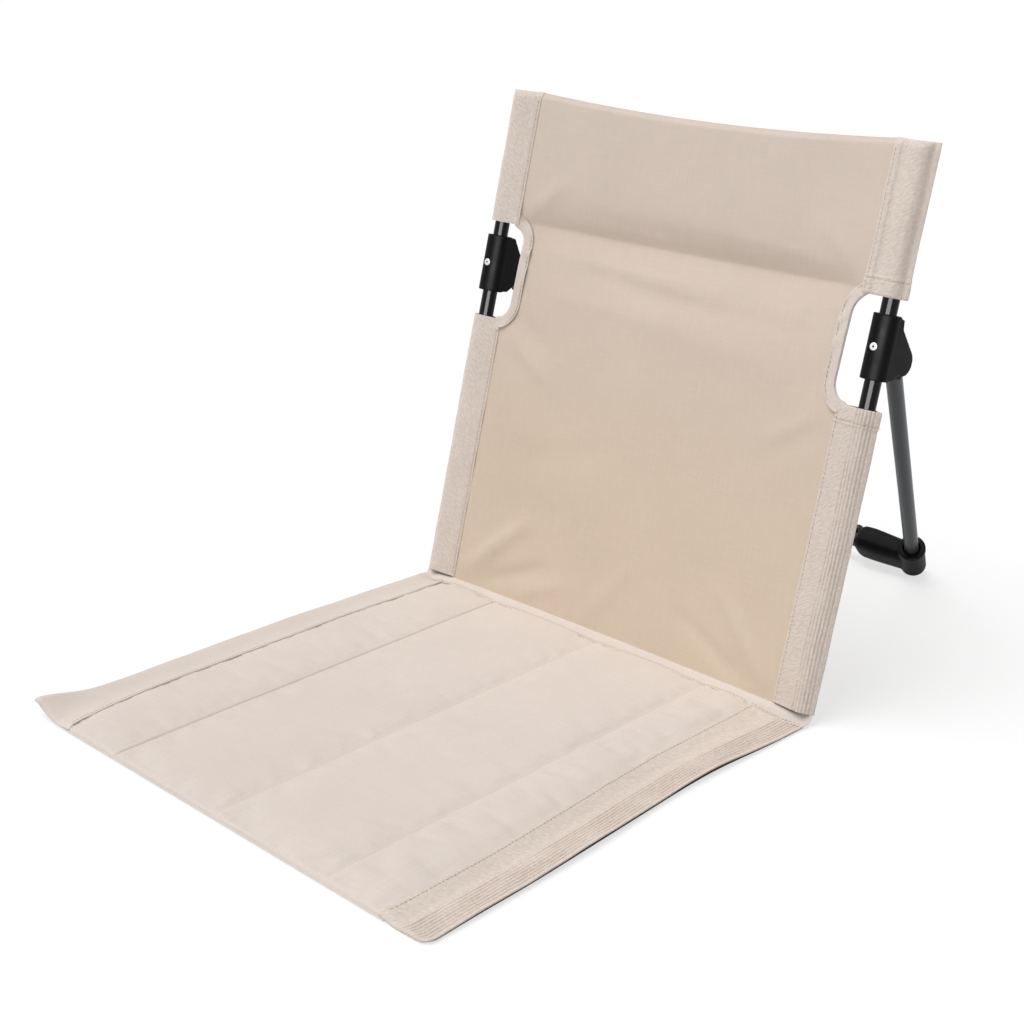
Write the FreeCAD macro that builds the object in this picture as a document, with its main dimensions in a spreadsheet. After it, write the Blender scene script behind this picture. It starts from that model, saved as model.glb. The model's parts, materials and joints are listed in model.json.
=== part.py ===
import FreeCAD, Part
import Sketcher
import math
import os

# Folding floor chair: a padded canvas seat mat that lies on the floor, a canvas back on two steel side
# tubes, and a splayed leg frame hinged behind the tubes.
# Frame: origin at the middle of the seat's underside, +X to the right as seen from the front, +Y to
# the rear, +Z up. Millimetres and degrees.

# Driving dimensions: alias, value, what it measures
SIZES = [
    ("seat_width", 420, "width of the seat mat and of the back over its sleeves"),
    ("seat_depth", 396, "seat mat from its front edge to the fold line"),
    ("seat_corner", 12, "rounding of the mat's corners in plan"),
    ("base_cloth", 1, "thickness of the dark underside cloth"),
    ("cover_cloth", 0.8, "thickness of the top canvas"),
    ("hem_width", 33, "width of the stitched strip along each side of the mat"),
    ("hem_thickness", 3, "thickness of that strip"),
    ("inner_channel", 117, "width of each of the two middle channels of the mat"),
    ("seam_gap", 3, "flat stitched line between two channels"),
    ("pad_crown", 6, "height of a channel's foam in its middle"),
    ("pad_side", 1.2, "height of a channel's foam at its edges"),
    ("pad_taper", 24, "length over which the foam thins at the front and rear ends"),
    ("rear_band", 13, "depth of the strip sewn along the mat's rear edge"),
    ("band_round", 2, "rounding of that strip's front edge"),
    ("fold_gap", 0.4, "height of the fold line above the highest part of the mat"),
    ("fold_clearance", 0.3, "room between the mat and the fold line"),
    ("recline", 14.1, "lean of the back from upright"),
    ("back_height", 434, "length of the back along its lean"),
    ("top_sag", 6, "drop of the back's upper edge in the middle"),
    ("panel_cloth", 1.6, "thickness of the doubled back canvas"),
    ("panel_sag", 7, "how far the panel bows to the rear"),
    ("fold_depth", 3.5, "extra depth of the cross fold of the panel"),
    ("fold_spread", 11, "half height of that cross fold"),
    ("panel_turn", 28, "height over which the panel's foot turns forward to the fold line"),
    ("foot_depth", 1, "depth of the panel's lower edge behind the fold line"),
    ("sleeve_width", 34, "width of a tube pocket from its inner seam to the outer edge"),
    ("sleeve_cloth", 1, "thickness of a tube pocket's cloth"),
    ("seam_depth", 5, "depth of the inner seam behind the fold line"),
    ("sleeve_room", 0.2, "room between a tube and its pocket"),
    ("cutout_bottom", 237, "lower end of the side cut-outs along the back"),
    ("cutout_height", 83, "height of the side cut-outs"),
    ("cutout_depth", 9, "how far a cut-out reaches in past the inner seam"),
    ("cutout_round", 16, "rounding of a cut-out's inner corners"),
    ("tape_width", 8.5, "width of the binding tape on the cut-outs' edges"),
    ("tape_cloth", 0.9, "thickness of that tape"),
    ("tape_room", 0.05, "room between that tape and the panel"),
    ("tube_od", 13, "outside diameter of all steel tubes"),
    ("tube_wall", 1, "wall of all steel tubes"),
    ("tube_inset", 13, "side tube's axis from the back's outer edge"),
    ("tube_depth", 9, "side tube's axis behind the fold line"),
    ("tube_end_gap", 6, "side tube's ends from the ends of the back"),
    ("plug_cap", 2, "thickness of an end plug's cap"),
    ("plug_stem", 12, "length of an end plug's stem"),
    ("fit_gap", 0.05, "radial room of plugged, riveted and pinned fits"),
    ("connector_od", 21, "outside diameter of a connector"),
    ("connector_length", 49, "length of a connector"),
    ("connector_shift", 5, "connector's middle above the middle of the cut-out"),
    ("connector_round", 1.2, "rounding of a connector's end edges"),
    ("rivet_head", 6, "diameter of a connector rivet's head"),
    ("rivet_rise", 1, "height of that head"),
    ("rivet_shank", 3.2, "diameter of that rivet's shank"),
    ("rivet_dimple", 1.8, "diameter of the hollow in that head"),
    ("rivet_flare", 4.6, "diameter of the rivet's closed end inside the tube"),
    ("rivet_seat", 0.5, "depth of the flat under that head"),
    ("pivot_offset", 22.5, "leg pivot behind the side tube's axis"),
    ("pivot_rise", 16, "leg pivot above the connector's lower end"),
    ("pivot_inset", 1, "middle of the leg tongue inwards of the side tube's axis"),
    ("lobe_radius", 10.5, "rounded end of a connector's cheeks"),
    ("cheek", 3.4, "thickness of a cheek"),
    ("cheek_gap", 0.3, "room between a cheek and the leg tongue"),
    ("cheek_shoulder", 7, "cheeks' upper edge below the connector's upper end"),
    ("cheek_toe", 3, "cheeks' lower edge above the connector's lower end"),
    ("stop_corner_back", 24, "corner of the inner cheek behind the side tube's axis"),
    ("stop_corner_drop", 17, "corner of the inner cheek below the connector's upper end"),
    ("pin_diameter", 5, "leg pivot pin"),
    ("tongue_width", 8, "width of the leg tongue between the cheeks"),
    ("tongue_radius", 9.6, "rounded end of the leg tongue"),
    ("neck_width", 11, "depth of the tongue's neck"),
    ("knuckle_reach", 18, "pivot to the leg tube's upper end"),
    ("knuckle_collar", 3, "collar on the leg tube's upper end"),
    ("knuckle_plug", 26, "plug of the tongue inside the leg tube"),
    ("foot_spread", 200, "distance between the two feet at the floor"),
    ("foot_back", 334, "feet behind the fold line"),
    ("socket_od", 25, "outside diameter of a foot's leg socket"),
    ("socket_length", 40, "length of that socket"),
    ("socket_floor", 8, "closed end below the leg tube"),
    ("mouth_flare", 2.2, "flare of the socket's mouth"),
    ("foot_round", 6, "rounding of the socket's lower end"),
    ("foot_flat", 0.5, "depth of the flat that stands on the floor"),
    ("arm_end", 48, "free end of a foot's arm from the chair's middle"),
    ("arm_height", 30, "arm's section along the leg"),
    ("arm_thickness", 24, "arm's section across the leg"),
    ("arm_round", 8, "rounding of the arm's section"),
    ("arm_end_round", 5, "rounding of the arm's free end"),
    ("bar_insert", 34, "crossbar inside each arm"),
    ("button_inset", 6.5, "button's middle from the arm's free end"),
    ("button_diameter", 10.6, "diameter of a crossbar button's dome"),
    ("button_sink", 3.6, "dome's centre above the crossbar"),
    ("button_shank", 4, "diameter of a button's shank"),
]

os.makedirs("parts", exist_ok=True)
doc = FreeCAD.newDocument("floor_chair")
sheet = doc.addObject("Spreadsheet::Sheet", "Sizes")
for row, (alias, value, meaning) in enumerate(SIZES, start=1):
    sheet.set(f"A{row}", meaning)
    sheet.set(f"B{row}", str(value))
    sheet.setAlias(f"B{row}", alias)
doc.recompute()


class Sheet:
    """The sheet's cells as plain numbers."""

    def __getattr__(self, alias):
        return float(sheet.get(alias))


S = Sheet()
ALIASES = {alias for alias, value, meaning in SIZES}
Vector = FreeCAD.Vector
Placement = FreeCAD.Placement
AXIS_X, AXIS_Y = Vector(1, 0, 0), Vector(0, 1, 0)
STRAIGHT = FreeCAD.Rotation()
TO_X = FreeCAD.Rotation(AXIS_Y, 90)
TO_Y = FreeCAD.Rotation(AXIS_X, -90)
SIDES = {"left": -1, "right": 1}
TOUCH = 1e-6
FIRST, LAST, CENTRE = 1, 2, 3
LEVEL_AXIS, UPRIGHT_AXIS = -1, -2
nodes = []


def formula(text):
    """An expression on the sheet from a formula that names its cells."""
    words = text.replace("(", "( ").replace(")", " )").split()
    return " ".join("Sizes." + word if word in ALIASES else word for word in words)


def bind(item, **formulas):
    for name, text in formulas.items():
        item.setExpression(name, formula(text))
    return item


def new_body(name, place=Placement(), is_node=True):
    body = doc.addObject("PartDesign::Body", name)
    body.Placement = place
    if is_node:
        nodes.append(body)
    return body


def solid(body, kind, name, at=Vector(), turn=STRAIGHT, **sizes):
    """Add a primitive to a body, or take one away from it."""
    item = body.newObject("PartDesign::" + kind, name)
    item.Placement = Placement(at, turn)
    return bind(item, **sizes)


def round_edges(body, name, radius, wanted):
    """Fillet the edges of the body's last feature that the test picks."""
    doc.recompute()
    base = body.Tip
    edges = [f"Edge{i}" for i, edge in enumerate(base.Shape.Edges, start=1) if wanted(edge)]
    item = body.newObject("PartDesign::Fillet", name)
    item.Base = (base, edges)
    return bind(item, Radius=radius)


def origin_plane(body, role):
    return next(item for item in body.Origin.OriginFeatures if item.Role == role)


def sketch_on(body, name, role, offset=Vector()):
    sketch = body.newObject("Sketcher::SketchObject", name)
    sketch.AttachmentSupport = [(origin_plane(body, role), "")]
    sketch.MapMode = "FlatFace"
    sketch.AttachmentOffset = Placement(offset, STRAIGHT)
    return sketch


def closed_outline(sketch, edges):
    """Add edges that run counter-clockwise and join each to the next, smoothly where one is an arc."""
    sketch.addGeometry(edges)
    for place, edge in enumerate(edges):
        after = (place + 1) % len(edges)
        has_arc = any(isinstance(item, Part.ArcOfCircle) for item in (edge, edges[after]))
        kind = "Tangent" if has_arc else "Coincident"
        sketch.addConstraint(Sketcher.Constraint(kind, place, LAST, after, FIRST))


def dimension(sketch, constraint, text):
    """Add a dimension that follows a formula."""
    number = sketch.addConstraint(constraint)
    sketch.setExpression(f"Constraints[{number}]", formula(text))


def locate(sketch, place, point, across, up):
    """Bind a point of an outline to formulas for its distances from the sketch's origin."""
    at = sketch.getPoint(place, point)
    dimension(sketch, Sketcher.Constraint("DistanceX", place, point, at.x), across)
    dimension(sketch, Sketcher.Constraint("DistanceY", place, point, at.y), up)


def arc_from(centre, start, end):
    """Counter-clockwise arc between two points at the same distance from its centre."""
    away, onward = start - centre, end - centre
    angles = [math.atan2(away.y, away.x), math.atan2(onward.y, onward.x)]
    if angles[1] < angles[0]:
        angles[1] += 2 * math.pi
    return Part.ArcOfCircle(Part.Circle(centre, Vector(0, 0, 1), away.Length), *angles)


def group(name, members):
    """One node of separate like solids."""
    item = doc.addObject("Part::Compound", name)
    item.Links = members
    nodes.append(item)


def soft(name, shape, place=Placement()):
    """One node whose shape is lofted or extruded cloth."""
    item = doc.addObject("Part::Feature", name)
    item.Shape = shape.removeSplitter()
    item.Placement = place
    nodes.append(item)


def loft(sections):
    return Part.makeLoft(sections, True, True)


# Places that several pieces share
HALF_WIDTH = S.seat_width / 2
HINGE_Y = S.seat_depth / 2
MAT_TOP = S.base_cloth + S.pad_crown + S.cover_cloth
BACK = Placement(Vector(0, HINGE_Y, MAT_TOP + S.fold_gap), FreeCAD.Rotation(AXIS_X, -S.recline))
TUBE_X = HALF_WIDTH - S.tube_inset
TUBE_R = S.tube_od / 2
SEAM_X = HALF_WIDTH - S.sleeve_width
CUTOUT_TOP = S.cutout_bottom + S.cutout_height
CONNECTOR_MID = (S.cutout_bottom + CUTOUT_TOP) / 2 + S.connector_shift
CONNECTOR_BASE = CONNECTOR_MID - S.connector_length / 2
PIVOT_X = TUBE_X - S.pivot_inset
PIVOT_DEPTH = S.tube_depth + S.pivot_offset
PIVOT_HEIGHT = CONNECTOR_BASE + S.pivot_rise


def on_back(x, depth, height, turn=STRAIGHT):
    """A place on the leaning back: across, behind the fold line, up from it."""
    return BACK * Placement(Vector(x, depth, height), turn)


# Seat mat: underside cloth, foam strips, quilted cover, side hems and rear band
def is_upright(edge):
    return edge.BoundBox.ZLength > 0.5 * S.base_cloth and edge.BoundBox.XLength < TOUCH


def make_base_cloth():
    body = new_body("seat_base_cloth")
    solid(body, "AdditiveBox", "Cloth", Vector(-HALF_WIDTH, -HINGE_Y, 0),
          Length="seat_width", Width="seat_depth - fold_clearance", Height="base_cloth")
    round_edges(body, "Corners", "seat_corner", is_upright)


def channel_bounds():
    """Left and right edges of each foam strip, from the left hem to the right one."""
    hem = HALF_WIDTH - S.hem_width
    lines = [-hem, -S.inner_channel, 0, S.inner_channel, hem]
    half = S.seam_gap / 2
    return [(a + half, b - half) for a, b in zip(lines, lines[1:])]


def strip_section(left, right, y, side_height, crown_height):
    """Flat below, low straight sides, one arc across the top."""
    floor = S.base_cloth
    foot_l, foot_r = Vector(left, y, floor), Vector(right, y, floor)
    top_l, top_r = Vector(left, y, floor + side_height), Vector(right, y, floor + side_height)
    crown = Vector((left + right) / 2, y, floor + crown_height)
    edges = [Part.LineSegment(foot_l, foot_r), Part.LineSegment(foot_r, top_r),
             Part.Arc(top_r, crown, top_l), Part.LineSegment(top_l, foot_l)]
    return Part.Wire([edge.toShape() for edge in edges])


def foam_strip(left, right, skin):
    """A strip that is crowned along its length and thins to both ends; skin grows it on all sides."""
    front = -HINGE_Y + S.cover_cloth - skin
    rear = HINGE_Y - S.fold_clearance - S.rear_band - S.cover_cloth + skin
    side = S.pad_side + skin
    end_crown = 2 * S.pad_side + skin
    crown = S.pad_crown + skin
    full = [front + S.pad_taper, rear - S.pad_taper]
    stations = [(front, end_crown), (full[0], crown), (full[1], crown), (rear, end_crown)]
    return loft([strip_section(left - skin, right + skin, y, side, top) for y, top in stations])


def make_seat_padding():
    strips = [foam_strip(left, right, 0) for left, right in channel_bounds()]
    soft("seat_foam_pads", Part.makeCompound(strips))
    hem = HALF_WIDTH - S.hem_width
    length = S.seat_depth - S.fold_clearance - S.rear_band
    cover = Part.makeBox(2 * hem, length, S.cover_cloth, Vector(-hem, -HINGE_Y, S.base_cloth))
    cover = cover.multiFuse([foam_strip(left, right, S.cover_cloth) for left, right in channel_bounds()])
    soft("seat_top_cover", cover.cut(strips).Solids[0])


def make_seat_hems():
    for name, side in SIDES.items():
        body = new_body(f"seat_{name}_hem")
        left = HALF_WIDTH - S.hem_width if side > 0 else -HALF_WIDTH
        solid(body, "AdditiveBox", "Strip", Vector(left, -HINGE_Y, S.base_cloth),
              Length="hem_width", Width="seat_depth - fold_clearance", Height="hem_thickness")
        outer = side * HALF_WIDTH
        round_edges(body, "Corners", "seat_corner",
                    lambda edge: is_upright(edge) and abs(edge.BoundBox.XMin - outer) < TOUCH)
        rim = S.base_cloth + S.hem_thickness - TOUCH
        round_edges(body, "Edge", "hem_thickness / 3",
                    lambda edge: edge.BoundBox.ZMin > rim and abs(edge.CenterOfMass.x - outer) < S.seat_corner)


def make_rear_band():
    body = new_body("seat_rear_band")
    hem = HALF_WIDTH - S.hem_width
    rear = HINGE_Y - S.fold_clearance
    solid(body, "AdditiveBox", "Strip", Vector(-hem, rear - S.rear_band, S.base_cloth),
          Length="seat_width - 2 * hem_width", Width="rear_band", Height="pad_crown + cover_cloth")
    front = rear - S.rear_band
    round_edges(body, "Edge", "band_round",
                lambda edge: edge.BoundBox.ZMin > MAT_TOP - TOUCH and edge.BoundBox.YMax < front + TOUCH)


# Back: side tubes with end plugs, connectors with rivets and pivot pins
def make_back_tubes():
    for name, side in SIDES.items():
        body = new_body(f"{name}_back_tube", on_back(side * TUBE_X, S.tube_depth, S.tube_end_gap))
        length = "back_height - 2 * tube_end_gap"
        solid(body, "AdditiveCylinder", "Wall", Radius="tube_od / 2", Height=length)
        solid(body, "SubtractiveCylinder", "Bore", Radius="tube_od / 2 - tube_wall", Height=length)
        rivet = Vector(0, -S.tube_od, CONNECTOR_MID - S.tube_end_gap)
        solid(body, "SubtractiveCylinder", "RivetHole", rivet, TO_Y,
              Radius="rivet_shank / 2 + fit_gap", Height="tube_od")


def make_plugs():
    ends = {"tube_top_plugs": (S.back_height - S.tube_end_gap, STRAIGHT),
            "tube_bottom_plugs": (S.tube_end_gap, FreeCAD.Rotation(AXIS_X, 180))}
    for node, (height, turn) in ends.items():
        plugs = []
        for name, side in SIDES.items():
            place = on_back(side * TUBE_X, S.tube_depth, height, turn)
            body = new_body(f"{name}_{node}_plug", place, is_node=False)
            solid(body, "AdditiveCylinder", "Cap", Radius="tube_od / 2", Height="plug_cap")
            solid(body, "AdditiveCylinder", "Stem", Vector(0, 0, -S.plug_stem),
                  Radius="tube_od / 2 - tube_wall - fit_gap", Height="plug_stem")
            plugs.append(body)
        group(node, plugs)


def cheek_sketch(body, name, offset, has_stop):
    """Outline of a cheek seen along X: a toe, the round lobe, the stop corner if any and a shoulder."""
    sketch = sketch_on(body, name, "YZ_Plane", Vector(0, 0, offset))
    root, shoulder = S.connector_od / 2 - S.connector_round, S.connector_length - S.cheek_shoulder
    centre = Vector(S.pivot_offset, S.pivot_rise, 0)
    lower = [Vector(0, S.cheek_toe, 0), Vector(root, S.cheek_toe, 0)]
    upper = [Vector(root, shoulder, 0), Vector(0, shoulder, 0)]
    if has_stop:
        upper.insert(0, Vector(S.stop_corner_back, S.connector_length - S.stop_corner_drop, 0))
    enter = tangent_point(lower[-1], centre, S.lobe_radius, -1)
    leave = tangent_point(upper[0], centre, S.lobe_radius, 1)
    edges = [Part.LineSegment(*ends) for ends in zip(lower, lower[1:] + [enter])]
    lobe = len(edges)
    edges.append(arc_from(centre, enter, leave))
    edges += [Part.LineSegment(*ends) for ends in zip([leave] + upper, upper + lower[:1])]
    closed_outline(sketch, edges)
    shoulder_line, rear_line = len(edges) - 2, len(edges) - 1
    for line in (0, shoulder_line):
        sketch.addConstraint(Sketcher.Constraint("Horizontal", line))
    sketch.addConstraint(Sketcher.Constraint("Vertical", rear_line))
    sketch.addConstraint(Sketcher.Constraint("PointOnObject", rear_line, LAST, UPRIGHT_AXIS))
    root_formula = "connector_od / 2 - connector_round"
    locate(sketch, 0, LAST, root_formula, "cheek_toe")
    locate(sketch, lobe, CENTRE, "pivot_offset", "pivot_rise")
    locate(sketch, shoulder_line, FIRST, root_formula, "connector_length - cheek_shoulder")
    if has_stop:
        locate(sketch, lobe + 1, LAST, "stop_corner_back", "connector_length - stop_corner_drop")
    dimension(sketch, Sketcher.Constraint("Radius", lobe, S.lobe_radius), "lobe_radius")
    return sketch


def tangent_point(point, centre, radius, turn):
    """Where a line from a point touches a circle; turn picks the side."""
    away = point - centre
    angle = math.atan2(away.y, away.x) - turn * math.acos(radius / away.Length)
    return centre + Vector(radius * math.cos(angle), radius * math.sin(angle), 0)


def make_connectors():
    for name, side in SIDES.items():
        body = new_body(f"{name}_connector", on_back(side * TUBE_X, S.tube_depth, CONNECTOR_BASE))
        solid(body, "AdditiveCylinder", "Sleeve", Radius="connector_od / 2", Height="connector_length")
        round_edges(body, "Ends", "connector_round", lambda edge: edge.BoundBox.ZLength < TOUCH)
        reach = S.tongue_width / 2 + S.cheek_gap
        tongue = -side * S.pivot_inset
        cheeks = {"Outer": (tongue + side * (reach + S.cheek / 2), False),
                  "Inner": (tongue - side * (reach + S.cheek / 2), True)}
        for label, (middle, has_stop) in cheeks.items():
            pad = body.newObject("PartDesign::Pad", label + "Cheek")
            pad.Profile = cheek_sketch(body, label + "Outline", middle - S.cheek / 2, has_stop)
            bind(pad, Length="cheek")
        solid(body, "SubtractiveCylinder", "Bore", Radius="tube_od / 2 + fit_gap", Height="connector_length")
        pin = Vector(-S.connector_od, S.pivot_offset, S.pivot_rise)
        solid(body, "SubtractiveCylinder", "PinHole", pin, TO_X,
              Radius="pin_diameter / 2 + fit_gap", Height="2 * connector_od")
        front = Vector(0, -S.connector_od, S.connector_length / 2)
        solid(body, "SubtractiveCylinder", "RivetHole", front, TO_Y,
              Radius="rivet_shank / 2 + fit_gap", Height="connector_od")
        solid(body, "SubtractiveCylinder", "RivetSeat", front, TO_Y,
              Radius="rivet_head / 2 + fit_gap", Height="connector_od / 2 + rivet_seat")


def make_connector_rivets():
    rivets = []
    seat = S.connector_od / 2 - S.rivet_seat
    inner = math.sqrt((TUBE_R - S.tube_wall) ** 2 - (S.rivet_flare / 2) ** 2) - S.fit_gap
    for name, side in SIDES.items():
        body = new_body(f"{name}_rivet", on_back(side * TUBE_X, S.tube_depth, CONNECTOR_MID), is_node=False)
        solid(body, "AdditiveCylinder", "Head", Vector(0, -seat - S.rivet_rise, 0), TO_Y,
              Radius="rivet_head / 2", Height="rivet_rise")
        round_edges(body, "Dome", "rivet_rise / 2",
                    lambda edge: edge.BoundBox.YMax < -seat - S.rivet_rise / 2)
        shank = solid(body, "AdditiveCylinder", "Shank", Vector(0, -seat, 0), TO_Y, Radius="rivet_shank / 2")
        shank.Height = seat - inner
        solid(body, "AdditiveCylinder", "Flare", Vector(0, -inner, 0), TO_Y,
              Radius="rivet_flare / 2", Height="rivet_rise")
        solid(body, "SubtractiveCylinder", "Dimple", Vector(0, -S.connector_od, 0), TO_Y,
              Radius="rivet_dimple / 2", Height="connector_od / 2 + rivet_seat")
        rivets.append(body)
    group("connector_rivets", rivets)


def make_pivot_pins():
    pins = []
    half = S.tongue_width / 2 + S.cheek_gap + S.cheek
    for name, side in SIDES.items():
        body = new_body(f"{name}_pin", on_back(side * PIVOT_X, PIVOT_DEPTH, PIVOT_HEIGHT), is_node=False)
        solid(body, "AdditiveCylinder", "Pin", Vector(-half, 0, 0), TO_X,
              Radius="pin_diameter / 2", Height="tongue_width + 2 * (cheek_gap + cheek)")
        pins.append(body)
    group("pivot_pins", pins)


# Back: canvas panel, binding tape of the cut-outs and tube pockets
def panel_section(height, depth, sag, half_thickness):
    """The panel cut level: bowed front and rear faces between two straight edges."""
    edges = []
    front, rear = depth - half_thickness, depth + half_thickness
    left_f, right_f = Vector(-SEAM_X, front, height), Vector(SEAM_X, front, height)
    left_r, right_r = Vector(-SEAM_X, rear, height), Vector(SEAM_X, rear, height)
    edges.append(Part.Arc(left_f, Vector(0, front + sag, height), right_f))
    edges.append(Part.LineSegment(right_f, right_r))
    edges.append(Part.Arc(right_r, Vector(0, rear + sag, height), left_r))
    edges.append(Part.LineSegment(left_r, left_f))
    return Part.Wire([edge.toShape() for edge in edges])


def panel_loft(half_thickness):
    """The bowed panel from its foot, turned forward, over the cross fold to the upper edge."""
    bow, seam = S.panel_sag, S.seam_depth
    turn = S.panel_turn
    stations = [
        (S.fold_clearance, S.foot_depth, bow * 0.06),
        (turn * 0.4, (S.foot_depth + seam) / 2, bow * 0.15),
        (turn, seam, bow * 0.35),
        (S.cutout_bottom * 0.55, seam, bow * 0.85),
        (S.cutout_bottom, seam, bow),
        (CUTOUT_TOP - S.fold_spread, seam, bow),
        (CUTOUT_TOP, seam, bow + S.fold_depth),
        (CUTOUT_TOP + S.fold_spread, seam, bow),
        (S.back_height, seam, bow * 0.7),
    ]
    return loft([panel_section(height, depth, sag, half_thickness) for height, depth, sag in stations])


def cutout_prism(side, grow):
    """The cut-out's outline, open to the outer side, through the whole depth of the back."""
    inner = SEAM_X - S.cutout_depth - grow
    low, high = S.cutout_bottom - grow, CUTOUT_TOP + grow
    radius = S.cutout_round + grow
    outer = HALF_WIDTH + S.sleeve_width
    bow = radius * math.sqrt(0.5)
    front = -S.connector_od
    def at(x, height):
        return Vector(side * x, front, height)
    corner = inner + radius
    edges = [
        Part.LineSegment(at(outer, low), at(corner, low)),
        Part.Arc(at(corner, low), at(corner - bow, low + radius - bow), at(inner, low + radius)),
        Part.LineSegment(at(inner, low + radius), at(inner, high - radius)),
        Part.Arc(at(inner, high - radius), at(corner - bow, high - radius + bow), at(corner, high)),
        Part.LineSegment(at(corner, high), at(outer, high)),
        Part.LineSegment(at(outer, high), at(outer, low)),
    ]
    face = Part.Face(Part.Wire([edge.toShape() for edge in edges]))
    return face.extrude(Vector(0, 4 * S.connector_od, 0))


def above_top_edge():
    """What the sagging upper edge leaves off the panel."""
    front = -S.connector_od
    wide, high = HALF_WIDTH, S.back_height + S.sleeve_width
    left, right = Vector(-SEAM_X, front, S.back_height), Vector(SEAM_X, front, S.back_height)
    lowest = Vector(0, front, S.back_height - S.top_sag)
    corners = [right, Vector(wide, front, S.back_height), Vector(wide, front, high),
               Vector(-wide, front, high), Vector(-wide, front, S.back_height), left]
    edges = [Part.Arc(left, lowest, right)]
    edges += [Part.LineSegment(start, end) for start, end in zip(corners, corners[1:])]
    face = Part.Face(Part.Wire([edge.toShape() for edge in edges]))
    return face.extrude(Vector(0, 4 * S.connector_od, 0))


def make_back_panel():
    half = S.panel_cloth / 2
    panel = panel_loft(half).cut([cutout_prism(-1, 0), cutout_prism(1, 0), above_top_edge()])
    soft("back_panel", panel.Solids[0], BACK)
    for name, side in SIDES.items():
        outside = S.tape_room + S.tape_cloth
        inside = panel_loft(half + S.tape_room).cut(cutout_prism(side, -S.tape_room))
        tape = panel_loft(half + outside).common(cutout_prism(side, S.tape_width))
        tape = tape.cut([cutout_prism(side, -outside), inside])
        soft(f"{name}_cutout_binding", tape.Solids[0], BACK)


def sleeve_outline(side, height):
    """Flat pocket round the tube: a thin inner seam, straight faces and a thin outer edge."""
    radius = TUBE_R + S.sleeve_room + S.sleeve_cloth
    tube = Vector(TUBE_X, S.tube_depth, 0)
    cloth = S.sleeve_cloth
    seam_f, seam_r = Vector(SEAM_X, S.seam_depth - cloth, 0), Vector(SEAM_X, S.seam_depth + cloth, 0)
    rim_f = Vector(HALF_WIDTH, S.tube_depth - cloth, 0)
    rim_r = Vector(HALF_WIDTH, S.tube_depth + cloth, 0)
    over = [tangent_point(seam_f, tube, radius, -1), tangent_point(rim_f, tube, radius, 1)]
    under = [tangent_point(rim_r, tube, radius, -1), tangent_point(seam_r, tube, radius, 1)]
    def at(point):
        return Vector(side * point.x, point.y, height)
    def crown(points):
        middle = (points[0] + points[1]) / 2 - tube
        return tube + middle.normalize() * radius
    edges = [
        Part.LineSegment(at(seam_f), at(over[0])), Part.Arc(at(over[0]), at(crown(over)), at(over[1])),
        Part.LineSegment(at(over[1]), at(rim_f)), Part.LineSegment(at(rim_f), at(rim_r)),
        Part.LineSegment(at(rim_r), at(under[0])), Part.Arc(at(under[0]), at(crown(under)), at(under[1])),
        Part.LineSegment(at(under[1]), at(seam_r)), Part.LineSegment(at(seam_r), at(seam_f)),
    ]
    return Part.Face(Part.Wire([edge.toShape() for edge in edges]))


def make_sleeves():
    tip = S.tube_end_gap - S.plug_cap
    spans = {"lower": (2 * S.fold_clearance, S.cutout_bottom, tip, S.cutout_bottom),
             "upper": (CUTOUT_TOP, S.back_height, CUTOUT_TOP, S.back_height - tip)}
    for name, side in SIDES.items():
        for part, (low, high, bore_low, bore_high) in spans.items():
            pocket = sleeve_outline(side, low).extrude(Vector(0, 0, high - low))
            room = Part.makeCylinder(TUBE_R + S.sleeve_room, bore_high - bore_low,
                                     Vector(side * TUBE_X, S.tube_depth, bore_low))
            soft(f"{name}_{part}_sleeve", pocket.cut(room), BACK)


# Leg frame: knuckles, leg tubes, foot elbows, crossbar and its buttons
PIVOT = BACK.multVec(Vector(PIVOT_X, PIVOT_DEPTH, PIVOT_HEIGHT))
FOOT_X = S.foot_spread / 2
FOOT_Y = HINGE_Y + S.foot_back


def foot_centre_height(lean):
    """Height of the socket's end above the floor for a leg that leans so far from upright."""
    ring = S.socket_od / 2 - S.foot_round
    return ring * math.sin(lean) + S.foot_round * (1 - math.cos(lean)) - S.foot_flat


def solve_leg():
    """The leg from the socket's end up to the pivot, with the rounded foot just on the floor."""
    height = 0.0
    for step in range(30):
        leg = PIVOT - Vector(FOOT_X, FOOT_Y, height)
        height = foot_centre_height(math.acos(leg.z / leg.Length))
    return leg, height


LEG, FOOT_Z = solve_leg()
LEAN = FreeCAD.Rotation(AXIS_X, math.degrees(math.atan2(-LEG.y, LEG.z)))
SPLAY = math.degrees(math.asin(LEG.x / LEG.Length))
ARM_RISE = S.socket_length / 2


def splay_turn(side):
    return FreeCAD.Rotation(AXIS_Y, side * SPLAY)


def at_pivot(side):
    return Placement(Vector(side * PIVOT.x, PIVOT.y, PIVOT.z), LEAN)


def at_foot(side):
    return Placement(Vector(side * FOOT_X, FOOT_Y, FOOT_Z), LEAN)


def make_leg_tubes():
    for name, side in SIDES.items():
        place = at_pivot(side) * Placement(Vector(), splay_turn(side))
        body = new_body(f"{name}_leg_tube", place)
        foot = Vector(0, 0, S.socket_floor - LEG.Length)
        wall = solid(body, "AdditiveCylinder", "Wall", foot, Radius="tube_od / 2")
        bore = solid(body, "SubtractiveCylinder", "Bore", foot, Radius="tube_od / 2 - tube_wall")
        wall.Height = bore.Height = LEG.Length - S.socket_floor - S.knuckle_reach


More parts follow.
